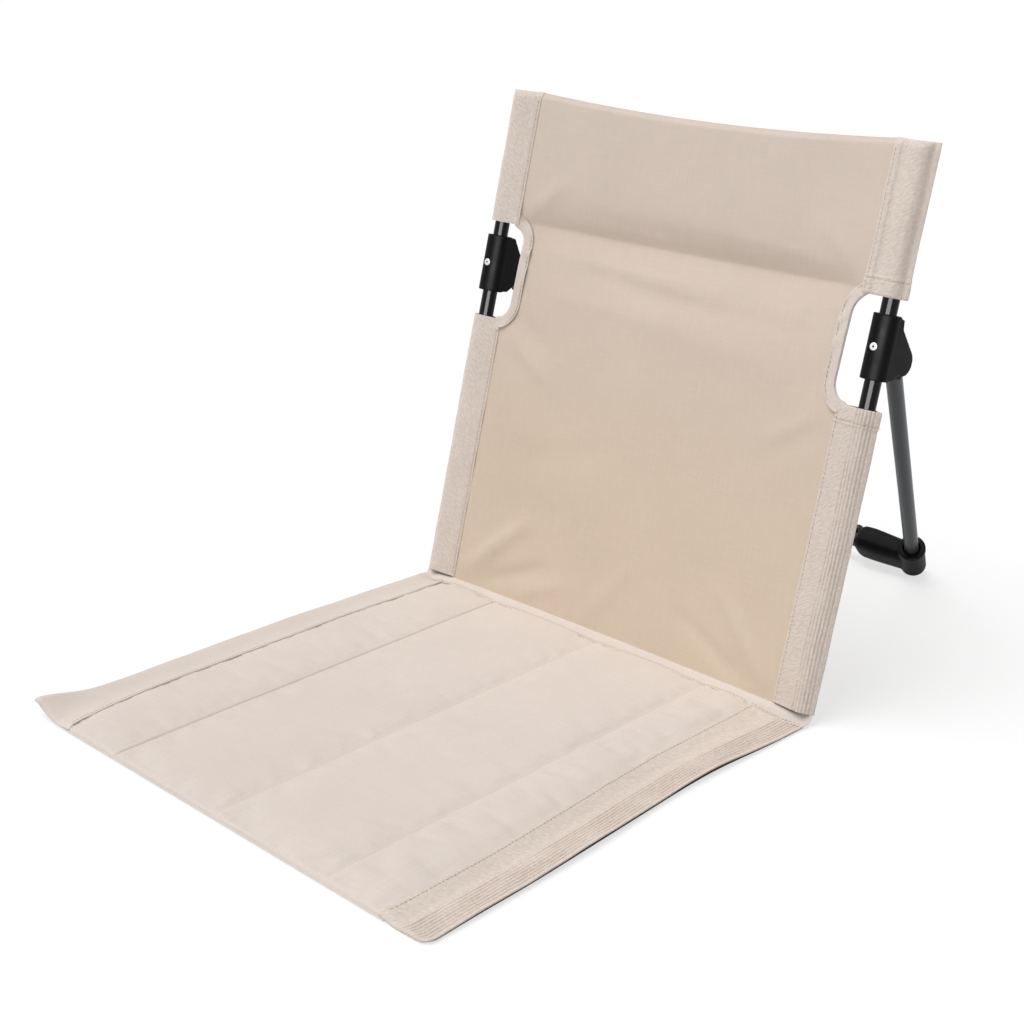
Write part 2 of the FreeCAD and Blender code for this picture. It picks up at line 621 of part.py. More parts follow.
def make_leg_knuckles():
    half = S.tongue_width / 2
    for name, side in SIDES.items():
        body = new_body(f"{name}_leg_knuckle", at_pivot(side))
        turn = splay_turn(side)
        solid(body, "AdditiveCylinder", "Eye", Vector(-half, 0, 0), TO_X,
              Radius="tongue_radius", Height="tongue_width")
        neck = S.knuckle_reach - S.knuckle_collar / 2
        solid(body, "AdditiveBox", "Neck", Vector(-half, -S.neck_width / 2, -neck),
              Length="tongue_width", Width="neck_width", Height="knuckle_reach - knuckle_collar / 2")
        solid(body, "AdditiveCylinder", "Collar", turn.multVec(Vector(0, 0, -S.knuckle_reach)), turn,
              Radius="tube_od / 2", Height="knuckle_collar")
        low = S.knuckle_reach + S.knuckle_plug
        solid(body, "AdditiveCylinder", "Plug", turn.multVec(Vector(0, 0, -low)), turn,
              Radius="tube_od / 2 - tube_wall - fit_gap", Height="knuckle_plug")
        solid(body, "SubtractiveCylinder", "PinHole", Vector(-S.tongue_width, 0, 0), TO_X,
              Radius="pin_diameter / 2 + fit_gap", Height="2 * tongue_width")


def arm_sketch(body, offset, middle):
    """Section of a foot's arm, a rounded rectangle seen along X."""
    sketch = sketch_on(body, "ArmSection", "YZ_Plane", Vector(0, middle, offset))
    wide, high, radius = S.arm_thickness / 2, S.arm_height / 2, S.arm_round
    edges = []
    for across, up in ((1, 1), (-1, 1), (-1, -1), (1, -1)):
        centre = Vector(across * (wide - radius), up * (high - radius), 0)
        beside = centre + Vector(across * radius, 0, 0)
        above = centre + Vector(0, up * radius, 0)
        opens_upright = across == up
        start, end = (beside, above) if opens_upright else (above, beside)
        before = Vector(start.x, -start.y, 0) if opens_upright else Vector(-start.x, start.y, 0)
        edges += [Part.LineSegment(before, start), arc_from(centre, start, end)]
    closed_outline(sketch, edges)
    right, corner, top, left, bottom = 0, 1, 2, 4, 6
    add = sketch.addConstraint
    add(Sketcher.Constraint("Symmetric", right, FIRST, right, LAST, LEVEL_AXIS))
    add(Sketcher.Constraint("Symmetric", top, FIRST, top, LAST, UPRIGHT_AXIS))
    add(Sketcher.Constraint("Vertical", left))
    add(Sketcher.Constraint("Horizontal", bottom))
    for other in (3, 5, 7):
        add(Sketcher.Constraint("Equal", corner, other))
    dimension(sketch, Sketcher.Constraint("Radius", corner, radius), "arm_round")
    dimension(sketch, Sketcher.Constraint("DistanceX", left, FIRST, right, LAST, 2 * wide), "arm_thickness")
    dimension(sketch, Sketcher.Constraint("DistanceY", bottom, FIRST, top, LAST, 2 * high), "arm_height")
    return sketch


def make_foot_elbows():
    for name, side in SIDES.items():
        place = at_foot(side)
        body = new_body(f"{name}_foot_elbow", place)
        turn = splay_turn(side)
        solid(body, "AdditiveCylinder", "Socket", Vector(), turn,
              Radius="socket_od / 2", Height="socket_length")
        round_edges(body, "Foot", "foot_round",
                    lambda edge: edge.Closed and edge.CenterOfMass.z < S.socket_length / 2)
        middle = turn.multVec(Vector(0, 0, ARM_RISE))
        free_end = side * (S.arm_end - FOOT_X)
        arm = body.newObject("PartDesign::Pad", "Arm")
        arm.Profile = arm_sketch(body, min(free_end, middle.x), middle.z)
        arm.Length = abs(middle.x - free_end)
        round_edges(body, "ArmEnd", "arm_end_round",
                    lambda edge: edge.BoundBox.XLength < TOUCH and abs(edge.BoundBox.XMin - free_end) < TOUCH)
        mouth = turn.multVec(Vector(0, 0, S.socket_length))
        seat = turn.multVec(Vector(0, 0, S.socket_floor))
        solid(body, "SubtractiveCylinder", "LegBore", seat, turn,
              Radius="tube_od / 2 + fit_gap", Height="socket_length")
        flare = FreeCAD.Rotation(turn) * FreeCAD.Rotation(AXIS_X, 180)
        solid(body, "SubtractiveCone", "Mouth", mouth, flare,
              Radius1="tube_od / 2 + mouth_flare", Radius2="tube_od / 2", Height="2 * mouth_flare")
        bar_turn = TO_X if side < 0 else FreeCAD.Rotation(AXIS_Y, -90)
        inside = Vector(free_end + side * S.bar_insert, 0, middle.z)
        solid(body, "SubtractiveCylinder", "BarBore", inside, bar_turn,
              Radius="tube_od / 2 + fit_gap", Height="2 * bar_insert")
        reach = S.socket_length
        below = Vector(side * FOOT_X - reach, FOOT_Y - reach, -S.socket_od)
        floor = place.inverse() * Placement(below, STRAIGHT)
        solid(body, "SubtractiveBox", "FloorFlat", floor.Base, floor.Rotation,
              Length="2 * socket_length", Width="2 * socket_length", Height="socket_od")


def at_bar(x):
    """A place on the crossbar; +Y there points up and back, square to the leg frame."""
    middle = at_foot(1).multVec(splay_turn(1).multVec(Vector(0, 0, ARM_RISE)))
    return Placement(Vector(x, middle.y, middle.z), LEAN)


def make_crossbar():
    body = new_body("crossbar_tube", at_bar(0))
    half = S.arm_end + S.bar_insert
    length = "2 * (arm_end + bar_insert)"
    solid(body, "AdditiveCylinder", "Wall", Vector(-half, 0, 0), TO_X, Radius="tube_od / 2", Height=length)
    solid(body, "SubtractiveCylinder", "Bore", Vector(-half, 0, 0), TO_X,
          Radius="tube_od / 2 - tube_wall", Height=length)
    buttons = []
    for name, side in SIDES.items():
        x = side * (S.arm_end - S.button_inset)
        solid(body, "SubtractiveCylinder", "ButtonHole", Vector(x, 0, 0), TO_Y,
              Radius="button_shank / 2 + fit_gap", Height="tube_od")
        button = new_body(f"{name}_button", at_bar(x), is_node=False)
        dome = solid(button, "AdditiveSphere", "Dome", Vector(0, TUBE_R + S.button_sink, 0), TO_Y,
                     Radius="button_diameter / 2")
        dome.Angle1 = -math.degrees(math.asin(S.button_sink / (S.button_diameter / 2)))
        solid(button, "AdditiveCylinder", "Shank", Vector(0, TUBE_R - 2 * S.tube_wall, 0), TO_Y,
              Radius="button_shank / 2", Height="2 * tube_wall + button_sink")
        buttons.append(button)
    group("crossbar_buttons", buttons)


make_base_cloth()
make_seat_padding()
make_seat_hems()
make_rear_band()
make_back_tubes()
make_plugs()
make_connectors()
make_connector_rivets()
make_pivot_pins()
make_back_panel()
make_sleeves()
make_leg_tubes()
make_leg_knuckles()
make_foot_elbows()
make_crossbar()
doc.recompute()

# Nothing is written unless every object and every solid is sound
for item in doc.Objects:
    if "Invalid" in item.State or "Error" in item.State:
        raise RuntimeError(f"{item.Label} failed: {item.State}")
for node in nodes:
    if node.Shape.isNull() or not node.Shape.isValid() or not node.Shape.Solids:
        raise RuntimeError(f"{node.Label} has no sound shape")
for node in nodes:
    node.Shape.exportStep(f"parts/{node.Label}.step")
    print(f"{node.Label}: {len(node.Shape.Solids)} solid(s), {node.Shape.Volume:.0f} mm3")
print(f"fold line y {HINGE_Y:.3f} z {BACK.Base.z:.3f}, leg pivot {PIVOT}")
leg_lean = math.degrees(math.atan2(-LEG.y, LEG.z))
print(f"leg {LEG.Length:.1f} long, leans {leg_lean:.2f}, splays {SPLAY:.2f}")
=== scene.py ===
import json
import math

import bpy
import numpy as np
from mathutils import Matrix, Vector, noise

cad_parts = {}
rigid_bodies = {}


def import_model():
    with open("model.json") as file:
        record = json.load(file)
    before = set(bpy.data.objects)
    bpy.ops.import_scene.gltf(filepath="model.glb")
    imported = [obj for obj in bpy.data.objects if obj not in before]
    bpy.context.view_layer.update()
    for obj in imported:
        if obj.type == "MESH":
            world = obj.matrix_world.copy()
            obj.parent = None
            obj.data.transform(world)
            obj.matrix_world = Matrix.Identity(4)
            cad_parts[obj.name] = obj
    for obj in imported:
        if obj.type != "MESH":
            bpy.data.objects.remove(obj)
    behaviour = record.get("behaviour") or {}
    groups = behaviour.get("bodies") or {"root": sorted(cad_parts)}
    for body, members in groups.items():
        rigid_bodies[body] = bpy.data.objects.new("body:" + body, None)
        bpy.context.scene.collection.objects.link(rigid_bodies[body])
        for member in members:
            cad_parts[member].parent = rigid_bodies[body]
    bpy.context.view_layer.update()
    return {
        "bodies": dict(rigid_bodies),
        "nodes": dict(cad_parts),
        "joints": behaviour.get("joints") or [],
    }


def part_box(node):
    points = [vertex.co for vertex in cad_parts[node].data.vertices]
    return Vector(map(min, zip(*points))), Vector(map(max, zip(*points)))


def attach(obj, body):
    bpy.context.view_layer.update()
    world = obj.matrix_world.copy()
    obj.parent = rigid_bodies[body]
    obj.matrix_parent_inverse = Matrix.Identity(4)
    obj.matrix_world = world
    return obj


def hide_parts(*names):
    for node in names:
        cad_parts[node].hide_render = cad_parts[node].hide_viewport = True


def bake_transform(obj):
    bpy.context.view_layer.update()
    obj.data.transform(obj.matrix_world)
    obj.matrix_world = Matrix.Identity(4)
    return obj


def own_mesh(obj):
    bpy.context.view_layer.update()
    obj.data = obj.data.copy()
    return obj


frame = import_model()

bl_info = {
    "name": "Folding Floor Chair",
    "version": (1, 0, 0),
    "blender": (4, 5, 0),
    "location": "3D View > Sidebar > Floor Chair",
    "description": "Dresses the folding floor chair in sewn canvas, moulded plastic and enamelled steel",
    "category": "Object",
}

MM = 0.001
PAD_OVERHANG = 12 * MM

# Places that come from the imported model
BACK_FOLD = next(joint for joint in frame["joints"] if joint["name"] == "back_fold")
LEG_FOLD = next(joint for joint in frame["joints"] if joint["name"] == "leg_fold")
HINGE_Y, HINGE_Z = BACK_FOLD["pos_m"][1:]
RECLINE = math.radians(BACK_FOLD["range_deg"][1] - 90)
LEVEL, RISE = math.cos(RECLINE), math.sin(RECLINE)
SEAM_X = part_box("back_panel")[1][0]
TUBE_LOW, TUBE_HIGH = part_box("right_back_tube")
TUBE_X = (TUBE_LOW[0] + TUBE_HIGH[0]) / 2
TUBE_RADIUS = (TUBE_HIGH[0] - TUBE_LOW[0]) / 2
MAT_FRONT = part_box("seat_base_cloth")[0][1]
MAT_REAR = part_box("seat_base_cloth")[1][1]
MAT_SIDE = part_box("seat_base_cloth")[1][0]
PAD_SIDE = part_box("seat_top_cover")[1][0]
PAD_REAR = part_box("seat_top_cover")[1][1] + PAD_OVERHANG
PAD_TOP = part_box("seat_top_cover")[1][2]
PAD_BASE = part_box("seat_base_cloth")[1][2]


def length(label, description, default):
    """Describe a size in metres."""
    return bpy.props.FloatProperty(
        name=label, description=description, default=default, precision=4, subtype="DISTANCE", unit="LENGTH"
    )


def angle(label, description, degrees):
    """Describe an angle."""
    return bpy.props.FloatProperty(
        name=label, description=description, default=math.radians(degrees), subtype="ANGLE", unit="ROTATION"
    )


def colour(label, description, red, green, blue):
    """Describe a colour given in screen values from 0 to 255."""
    linear = [
        v / 255 / 12.92 if v < 11 else ((v / 255 + 0.055) / 1.055) ** 2.4
        for v in (red, green, blue)
    ]
    return bpy.props.FloatVectorProperty(
        name=label, description=description, default=(*linear, 1), size=4, min=0, max=1, subtype="COLOR"
    )


def number(label, description, default, subtype="NONE"):
    """Describe a plain number."""
    return bpy.props.FloatProperty(name=label, description=description, default=default, subtype=subtype)


def spot(label, description, default):
    """Describe a place in metres."""
    return bpy.props.FloatVectorProperty(
        name=label, description=description, default=default, precision=5,
        subtype="TRANSLATION", unit="LENGTH",
    )


class FloorChairCloth(bpy.types.PropertyGroup):
    back_height: length("Back height", "Height of the back along its slope at the tubes", 434 * MM)
    top_sag: length("Top sag", "How far the free top edge dips at the middle", 6 * MM)
    panel_sag: length("Panel sag", "How far the panel hangs back between the tubes", 6 * MM)
    cross_fold: length("Cross fold", "Depth of the valley where the back was folded for storage", 13 * MM)
    gap_low: length("Gap bottom", "Height of the side gaps' lower end along the slope", 237 * MM)
    gap_high: length("Gap top", "Height of the side gaps' upper end along the slope", 320 * MM)
    gap_inset: length("Gap inset", "Half width of the panel between the side gaps", 167 * MM)
    gap_radius: length("Gap corner", "Radius of the side gaps' corners", 16 * MM)
    tape_width: length("Tape width", "Width of the binding tape on each face", 9.5 * MM)
    canvas_thickness: length("Canvas thickness", "Thickness of the panel's canvas", 0.9 * MM)
    pocket_thickness: length("Pocket cloth thickness", "Thickness of the tube pockets' cloth", 0.7 * MM)
    rib_spacing: length("Rib spacing", "Distance between the rows of stitching on the right edge", 2.9 * MM)
    stitch_pitch: length("Stitch pitch", "Distance from stitch to stitch", 3.6 * MM)
    stitch_width: length("Stitch width", "Thickness of the sewing thread", 0.62 * MM)
    gap_hem: length("Pocket hem", "Width of the hems at the pockets' ends beside the side gaps", 14 * MM)
    left_strip: length("Left strip width", "Width of the mat's left edge strip", 36 * MM)
    right_strip: length("Right strip width", "Width of the mat's right edge strip with its rows", 42 * MM)
    channel_side: length("Side channel seam", "Distance of the outer seams from the middle", 116 * MM)


class FloorChairHard(bpy.types.PropertyGroup):
    connector_low: length("Connector foot", "Height of the connectors' lower ends along the back", 259 * MM)
    connector_length: length("Connector length", "Length of the connectors along the tubes", 49 * MM)
    connector_radius: length("Connector radius", "Outside radius of the connectors", 10.5 * MM)
    pivot_across: length("Pivot across", "Distance of the leg pivots from the middle", 196 * MM)
    pivot_depth: length("Pivot depth", "How far the leg pivots lie behind the fold line", 31.5 * MM)
    pivot_height: length("Pivot height", "Height of the leg pivots along the back", 275 * MM)
    lobe_radius: length("Lobe radius", "Radius of the connectors' cheeks round the pivots", 10.5 * MM)
    tongue_room: length("Tongue room", "Width of the slot between a connector's cheeks", 8.6 * MM)
    foot_place: spot("Foot place", "Middle of the right foot's lower end", (0.1, 0.532, 0.005746))
    socket_radius: length("Socket radius", "Outside radius of a foot's socket at its mouth", 12.5 * MM)
    socket_length: length("Socket length", "Length of a foot's socket along the leg", 40 * MM)
    arm_end: length("Arm end", "Distance of the feet's arm ends from the middle", 48 * MM)


class FloorChairColours(bpy.types.PropertyGroup):
    seat: colour("Seat canvas", "Canvas on top of the mat", 225, 213, 204)
    # The back canvas blends from back near the mat to back_above near its top. This is painted light: the
    # change from the warmer lower tone to the greyer top stands in for light reflected from the mat, not a
    # change in the cloth.
    back: colour("Back canvas", "Canvas of the back panel near the mat", 221, 202, 181)
    back_above: colour("Back canvas above", "Canvas of the back panel near its top", 220, 204, 191)
    strip: colour("Strip cloth", "Cloth of the pockets and the edge strips", 228, 214, 203)
    tape: colour("Binding tape", "Tape round the side gaps", 229, 216, 206)
    underside: colour("Underside cloth", "Dark cloth under the mat", 68, 61, 56)
    thread: colour("Sewing thread", "Thread of the visible seams", 206, 193, 179)
    back_enamel: colour("Back tube enamel", "Gloss enamel on the back tubes", 8, 8, 9)
    leg_enamel: colour("Leg enamel", "Gloss enamel on the legs and the crossbar", 58, 63, 66)
    plastic: colour("Moulded plastic", "Connectors, feet, plugs and knuckles", 9, 9, 10)
    rivet: colour("Rivet metal", "Bright tubular rivets", 236, 236, 237)
    pin: colour("Pin steel", "Blackened steel pins", 38, 38, 40)


class FloorChairStage(bpy.types.PropertyGroup):
    camera_place: spot("Camera place", "Where the camera stands", (0.836, -0.7948, 0.602))
    azimuth: angle("Camera azimuth", "Turn of the camera round the chair", 43.28)
    elevation: angle("Camera elevation", "How far the camera looks down", 20.47)
    roll: angle("Camera roll", "Tilt of the picture", 0.88)
    lens: number("Lens", "Focal length for a 36 mm square picture", 60, "DISTANCE_CAMERA")
    sky: number("Sky", "Strength of the even studio light", 0.36)
    key: number("Key light", "Strength of the wide soft key light", 2.28)
    key_width: angle("Key width", "Apparent width of the soft key light", 50)
    key_height: angle("Key height", "Height of the key light above the floor", 66)
    key_turn: angle("Key turn", "Turn of the key light, from the front towards the right", -38)
    side: number("Side lamp", "Power of the tall lamp that draws the tubes' highlight", 120, "POWER")


def cloth():
    return bpy.context.scene.floor_chair_cloth


def colours():
    return bpy.context.scene.floor_chair_colours


# Shapes of the cloth, as functions of places on it
SEAM_DEPTH, FLAT_DEPTH = 5 * MM, 2 * MM
FOLD_ABOVE, FOLD_BELOW = 13.5 * MM, 36 * MM
FOLD_OFFSET, FOLD_ROUND = 3 * MM, 1.5 * MM
TUBE_DEPTH = 9 * MM
POCKET_FOOT = 2.5 * MM
POCKET_RIBS = (20.5 * MM, 35.5 * MM)
POCKET_STEPS = 121
POCKET_CLOSING = 6.5 * MM
HEM_SEAM = 2.2 * MM
LEFT_CORNER, RIGHT_CORNER = 1 * MM, 9 * MM
STRIP_LIFT = 1.15 * MM
STRIP_HEIGHT = 2.7 * MM
RIB_DEPTH, RIB_WIDTH = 1.15 * MM, 0.62 * MM


def smooth(value, low, high):
    """Ease from 0 to 1 between two values."""
    share = np.clip((value - low) / (high - low), 0, 1)
    return share * share * (3 - 2 * share)


def bump(value, middle, width):
    """A soft bell of height 1 round a middle value."""
    return np.exp(-((value - middle) / width) ** 2)


def at_share(values, share):
    """Read a row of values at a share of its length."""
    return np.interp(share * (len(values) - 1), np.arange(len(values)), values)


def between(a, b, c, d, t):
    """A smooth curve from b at 0 to c at 1, led by the points before and after."""
    bend = (2 * a - 5 * b + 4 * c - d) * t ** 2
    twist = (3 * b - a - 3 * c + d) * t ** 3
    return 0.5 * (2 * b + (c - a) * t + bend + twist)


def uneven(a, b, size, seed):
    """Soft unevenness of a given size over two directions, between about -1 and 1."""
    return np.array([noise.noise(Vector((p / size, q / size, seed))) for p, q in zip(a, b)])


def crease(a, b, start, end, width, height):
    """Raise a soft ridge along a line, fading towards its ends."""
    run = (end[0] - start[0], end[1] - start[1])
    reach = math.hypot(*run)
    along = ((a - start[0]) * run[0] + (b - start[1]) * run[1]) / reach ** 2
    aside = ((a - start[0]) * run[1] - (b - start[1]) * run[0]) / reach
    return height * bump(aside, 0, width) * np.clip(1 - (2 * along - 1) ** 2, 0, None)


def sewn_rows(across, along, start, end, seed):
    """Narrow grooves of parallel rows of stitching between two lines, each 0 to 1 deep."""
    spacing = cloth().rib_spacing
    drift = across + 0.9 * MM * uneven(along, across * 0.2, 55 * MM, seed)
    pull = np.clip(0.85 + 0.6 * uneven(along, across * 2, 26 * MM, seed + 4), 0.25, 1)
    off = np.abs((drift / spacing) % 1 - 0.5) * spacing
    band = smooth(drift, start - spacing / 2, start) * (1 - smooth(drift, end, end + spacing / 2))
    return band * pull * bump(spacing / 2, off, RIB_WIDTH)


def on_back(across, behind, up):
    """Place points that are given across, behind and up the reclined back."""
    y = HINGE_Y + behind * LEVEL + up * RISE
    z = HINGE_Z - behind * RISE + up * LEVEL
    return np.stack((across, y, z), axis=-1)


def spread(stops):
    """Rows at uneven spacing: each stop gives where it is and the spacing up to the next."""
    rows = []
    for (low, step), (high, _) in zip(stops, stops[1:]):
        rows.append(np.linspace(low, high, max(1, round((high - low) / step)), endpoint=False))
    return np.append(np.concatenate(rows), stops[-1][0])


def gap_edge(up):
    """Half width of the panel's cut edge beside a side gap."""
    c = cloth()
    inside = np.clip(np.minimum(up - c.gap_low, c.gap_high - up), 0, c.gap_radius)
    return c.gap_inset + c.gap_radius - np.sqrt(c.gap_radius ** 2 - (c.gap_radius - inside) ** 2)


def panel_depth(across, up):
    """How far the panel's face lies behind the fold line."""
    c = cloth()
    belly = np.clip(1 - (across / SEAM_X) ** 2, 0, None)
    depth = SEAM_DEPTH + c.panel_sag * belly * (0.6 + 0.4 * smooth(up, 0, 85 * MM))
    above = up - c.gap_high - FOLD_OFFSET
    off_fold = np.sqrt(above ** 2 + FOLD_ROUND ** 2) - FOLD_ROUND
    reach = np.where(above > 0, FOLD_ABOVE, FOLD_BELOW)
    depth += c.cross_fold * np.sqrt(belly) * np.exp(-off_fold / reach)
    for start, end, width, height in PANEL_CREASES:
        depth -= crease(across / MM, up / MM, start, end, width, height) * MM
    fade = np.sqrt(belly) * smooth(up, 5 * MM, 40 * MM)
    wrinkles = 0.8 * MM * uneven(across, up, 85 * MM, 3.1) + 0.3 * MM * uneven(across, up, 30 * MM, 7.7)
    return depth + fade * wrinkles


# Creases of the panel in millimetres: start, end, width and height
PANEL_CREASES = (
    ((168, 6), (92, 82), 8, 2.2),
    ((150, 4), (60, 46), 7, -1.7),
    ((-168, 8), (-98, 78), 8, 2.2),
    ((-150, 4), (-66, 42), 7, -1.6),
    ((-110, 3), (-50, 30), 6, 1.0),
    ((172, 232), (108, 190), 7, 0.8),
    ((168, 214), (96, 168), 9, -0.6),
    ((-172, 232), (-104, 186), 7, 1.7),
    ((-168, 246), (-100, 214), 8, -1.0),
    ((172, 326), (120, 372), 8, 1.3),
    ((-172, 326), (-124, 368), 8, 1.3),
    ((-120, 296), (40, 276), 9, -1.2),
    ((-60, 262), (130, 250), 12, 0.9),
    ((-150, 120), (-20, 150), 14, -1.0),
    ((-30, 2), (18, 70), 9, 0.9),
    ((-150, 302), (60, 294), 6, 0.8),
    ((-60, 287), (150, 280), 7, -0.8),
    ((-140, 268), (20, 262), 7, 0.7),
    ((-130, 340), (40, 334), 5, -0.7),
    ((20, 346), (160, 336), 5, 0.7),
)


def panel_point(across, up, lift=0.0):
    """A point on the panel's face, or lifted off it towards the sitter."""
    return on_back(across, panel_depth(across, up) - lift, up)


def panel_top(across):
    """Height of the free top edge."""
    return cloth().back_height - cloth().top_sag * np.clip(1 - (across / SEAM_X) ** 2, 0, None)


def drawn_line(points, count):
    """A smooth line through a few points, at even steps, with its outward direction."""
    knots = np.array(points, dtype=float)
    ends = np.vstack((2 * knots[0] - knots[1], knots, 2 * knots[-1] - knots[-2]))
    t = np.linspace(0, 1, 12, endpoint=False)[:, None]
    dense = [between(*four, t) for four in zip(ends, ends[1:], ends[2:], ends[3:])]
    dense = np.vstack((*dense, knots[-1:]))
    run = np.append(0, np.cumsum(np.hypot(*np.diff(dense, axis=0).T)))
    steps = np.linspace(0, run[-1], count)
    line = np.stack((np.interp(steps, run, dense[:, 0]), np.interp(steps, run, dense[:, 1])), axis=-1)
    slope = np.gradient(line, axis=0)
    slope /= np.linalg.norm(slope, axis=1)[:, None]
    return line, np.stack((slope[:, 1], -slope[:, 0]), axis=-1), run[-1]


def tape_line():
    """The tape's path round a side gap in millimetres, with its outward direction and its length."""
    c = cloth()
    up = np.linspace(c.gap_low + 0.2 * MM, c.gap_high - 0.2 * MM, 160)
    edge = np.stack((gap_edge(up), up), axis=-1)[::4]
    low, high = ((SEAM_X + 8 * MM, end) for end in (c.gap_low - 6 * MM, c.gap_high + 4 * MM))
    return drawn_line(np.vstack((low, edge, high)) / MM, 141)


# Sections of a pocket in millimetres: away from the seam, and behind the fold line
POCKET_BACK = (
    (34.2, 8.8), (33.7, 9.35), (31.0, 9.7), (29.2, 11.0), (27.6, 14.0), (24.5, 16.3), (21.0, 16.9),
    (16.5, 15.9), (11.0, 12.2), (5.0, 8.2), (1.0, 6.9), (-1.8, 6.7),
)
PIPED_POCKET = (
    (-1.8, 4.5), (1.2, 3.5), (4.6, 3.2), (5.8, 4.0), (9.5, 3.9), (13.5, 2.4), (17.5, 1.4), (21.0, 1.1),
    (24.5, 1.5), (27.4, 3.6), (28.9, 6.2), (30.2, 7.6), (32.0, 8.0), (33.7, 8.25), *POCKET_BACK,
)
FLAT_POCKET = (
    (-1.8, 4.6), (1.5, 3.9), (5.0, 3.2), (9.0, 2.6), (13.0, 2.0), (17.0, 1.4), (21.0, 1.1), (24.6, 1.4),
    (27.8, 3.0), (30.4, 5.2), (32.6, 7.2), (33.8, 8.2), *POCKET_BACK,
)


def pocket_front(away):
    """Depth of a plain pocket's front face at a distance from the seam."""
    front = np.array([knot for knot in FLAT_POCKET if knot[1] <= 8.8])
    return np.interp(away / MM, front[:, 0], front[:, 1]) * MM


class Pocket:
    """The shape of one tube pocket: its side, its ends and what is sewn on it."""

    def __init__(self, name, side, section, low, high, low_hem=0, high_hem=0, ribs=None, closed=False):
        self.name, self.node, self.side = f"{name}_pocket", f"{name}_sleeve", side
        self.low, self.high, self.ribs, self.closed = low, high, ribs, closed
        self.ends = ((low, low_hem, 1), (high, high_hem, -1))
        self.line, self.out, self.girth = drawn_line(section, POCKET_STEPS)

    def height(self, step, up):
        """How far hems, ribs and wrinkles stand off the plain section."""
        round_way = step * self.girth * MM
        high = np.zeros_like(up)
        for end, hem, way in self.ends:
            if hem:
                inside = (up - end) * way
                high += 0.5 * MM * (1 - smooth(inside, hem - 0.5 * MM, hem + 0.9 * MM))
                high -= 0.5 * MM * bump(inside - hem, -HEM_SEAM, 0.8 * MM)
                high -= 0.6 * MM * (1 - smooth(inside, 0, 1.2 * MM))
        if self.ribs:
            high -= 0.8 * MM * sewn_rows(round_way, up, self.ribs[0], self.ribs[1], 1.6)
        front = 1 - smooth(step, 0.42, 0.5)
        lean = 0.75 if self.side < 0 else 0.25
        slant = up + self.side * lean * round_way * 1.3
        pull = uneven(slant, round_way, 13 * MM, 2.3 + self.low * 40)
        high += front * (0.42 if self.side < 0 else 0.22) * MM * pull
        high += 0.35 * MM * uneven(up, round_way, 34 * MM, 5.9 + self.side)
        return high

    def point(self, step, up, lift=0.0):
        """A point round the pocket and along it."""
        share = np.clip(step, 0, 1)
        x, behind = (at_share(self.line[:, k], share) * MM for k in (0, 1))
        out_x, out_b = (at_share(self.out[:, k], share) for k in (0, 1))
        high = self.height(step, up) + lift
        x, behind = x + out_x * high, behind + out_b * high
        if self.closed:
            past = np.clip((up - (self.high - POCKET_CLOSING)) / POCKET_CLOSING, 0, 1)
            behind = TUBE_DEPTH + (behind - TUBE_DEPTH) * np.sqrt(1 - 0.985 * past ** 2)
        return on_back(self.side * (SEAM_X + x), behind, up)


def pockets():
    """The four pockets, left and right, above and below the side gaps."""
    c = cloth()
    low, high, top, hem = c.gap_low, c.gap_high, c.back_height, c.gap_hem
    return (
        Pocket("left_upper", -1, FLAT_POCKET, high, top, closed=True),
        Pocket("right_upper", 1, PIPED_POCKET, high, top, low_hem=hem, closed=True),
        Pocket("left_lower", -1, FLAT_POCKET, POCKET_FOOT, low),
        Pocket("right_lower", 1, FLAT_POCKET, POCKET_FOOT, low, high_hem=hem, ribs=POCKET_RIBS),
    )


def pad_side(side, along):
    """Half width of the pad on one side, where the edge strip is sewn on."""
    if side < 0:
        near_front = bump(along, MAT_FRONT, 45 * MM)
        return PAD_SIDE + 9 * MM - 7 * MM * near_front - 3 * MM * smooth(along, 60 * MM, 190 * MM)
    return PAD_SIDE - 6 * MM - 9 * MM * smooth(along, -130 * MM, 90 * MM)


def channel_seams():
    """Where the mat's channels are sewn, from left to right."""
    c = cloth()
    return np.array((-c.channel_side, 1 * MM, c.channel_side - 2 * MM))


def pad_height(across, along):
    """Height of the mat's top, crowned between its sewn channels."""
    seams = channel_seams()
    left, right = -pad_side(-1, along), pad_side(1, along)
    index = np.searchsorted(seams, across)
    low, high = np.choose(index, (left, *seams)), np.choose(index, (*seams, right))
    rim = smooth(np.minimum(across - left, right - across), 1 * MM, 15 * MM)
    share = np.clip((across - low) / (high - low), 0, 1)
    crown = np.clip(4 * share * (1 - share), 0, 1) ** 0.6 * (0.3 + 0.7 * rim)
    groove = 0.9 * MM * bump(across, seams[0], 0.7 * MM)
    for seam in seams[1:]:
        groove += 0.3 * MM * bump(across, seam, 3.6 * MM)
    front = smooth(along, MAT_FRONT - 1 * MM, MAT_FRONT + 26 * MM)
    ends = front * (1 - 0.5 * smooth(along, PAD_REAR - 26 * MM, PAD_REAR))
    height = PAD_TOP - 2.6 * MM + 2.4 * MM * crown * (0.35 + 0.65 * ends)
    wide, fine = uneven(across, along, 70 * MM, 1.7), uneven(across, along, 24 * MM, 4.2)
    height += 0.4 * MM * wide + 0.15 * MM * fine
    return height - groove - 0.9 * MM * (1 - rim) * smooth(along, 90 * MM, 165 * MM)


def edge_wave(along):
    """How far the mat's right edge lifts off the floor along its length."""
    y = along / MM
    return MM * (3.2 * bump(y, -40, 75) + 3.2 * bump(y, 95, 50) + 1.2 * bump(y, -150, 35) + 0.3)


def edge_draw(along):
    """How far the mat's right edge is drawn in between its corners."""
    return 1 * MM + 6.5 * MM * bump(along, 65 * MM, 90 * MM)


def corner_inset(along, radius):
    """How far a rounded front corner draws the side edge in."""
    inside = np.clip(along - MAT_FRONT, 0, radius)
    return radius - np.sqrt(radius ** 2 - (radius - inside) ** 2)


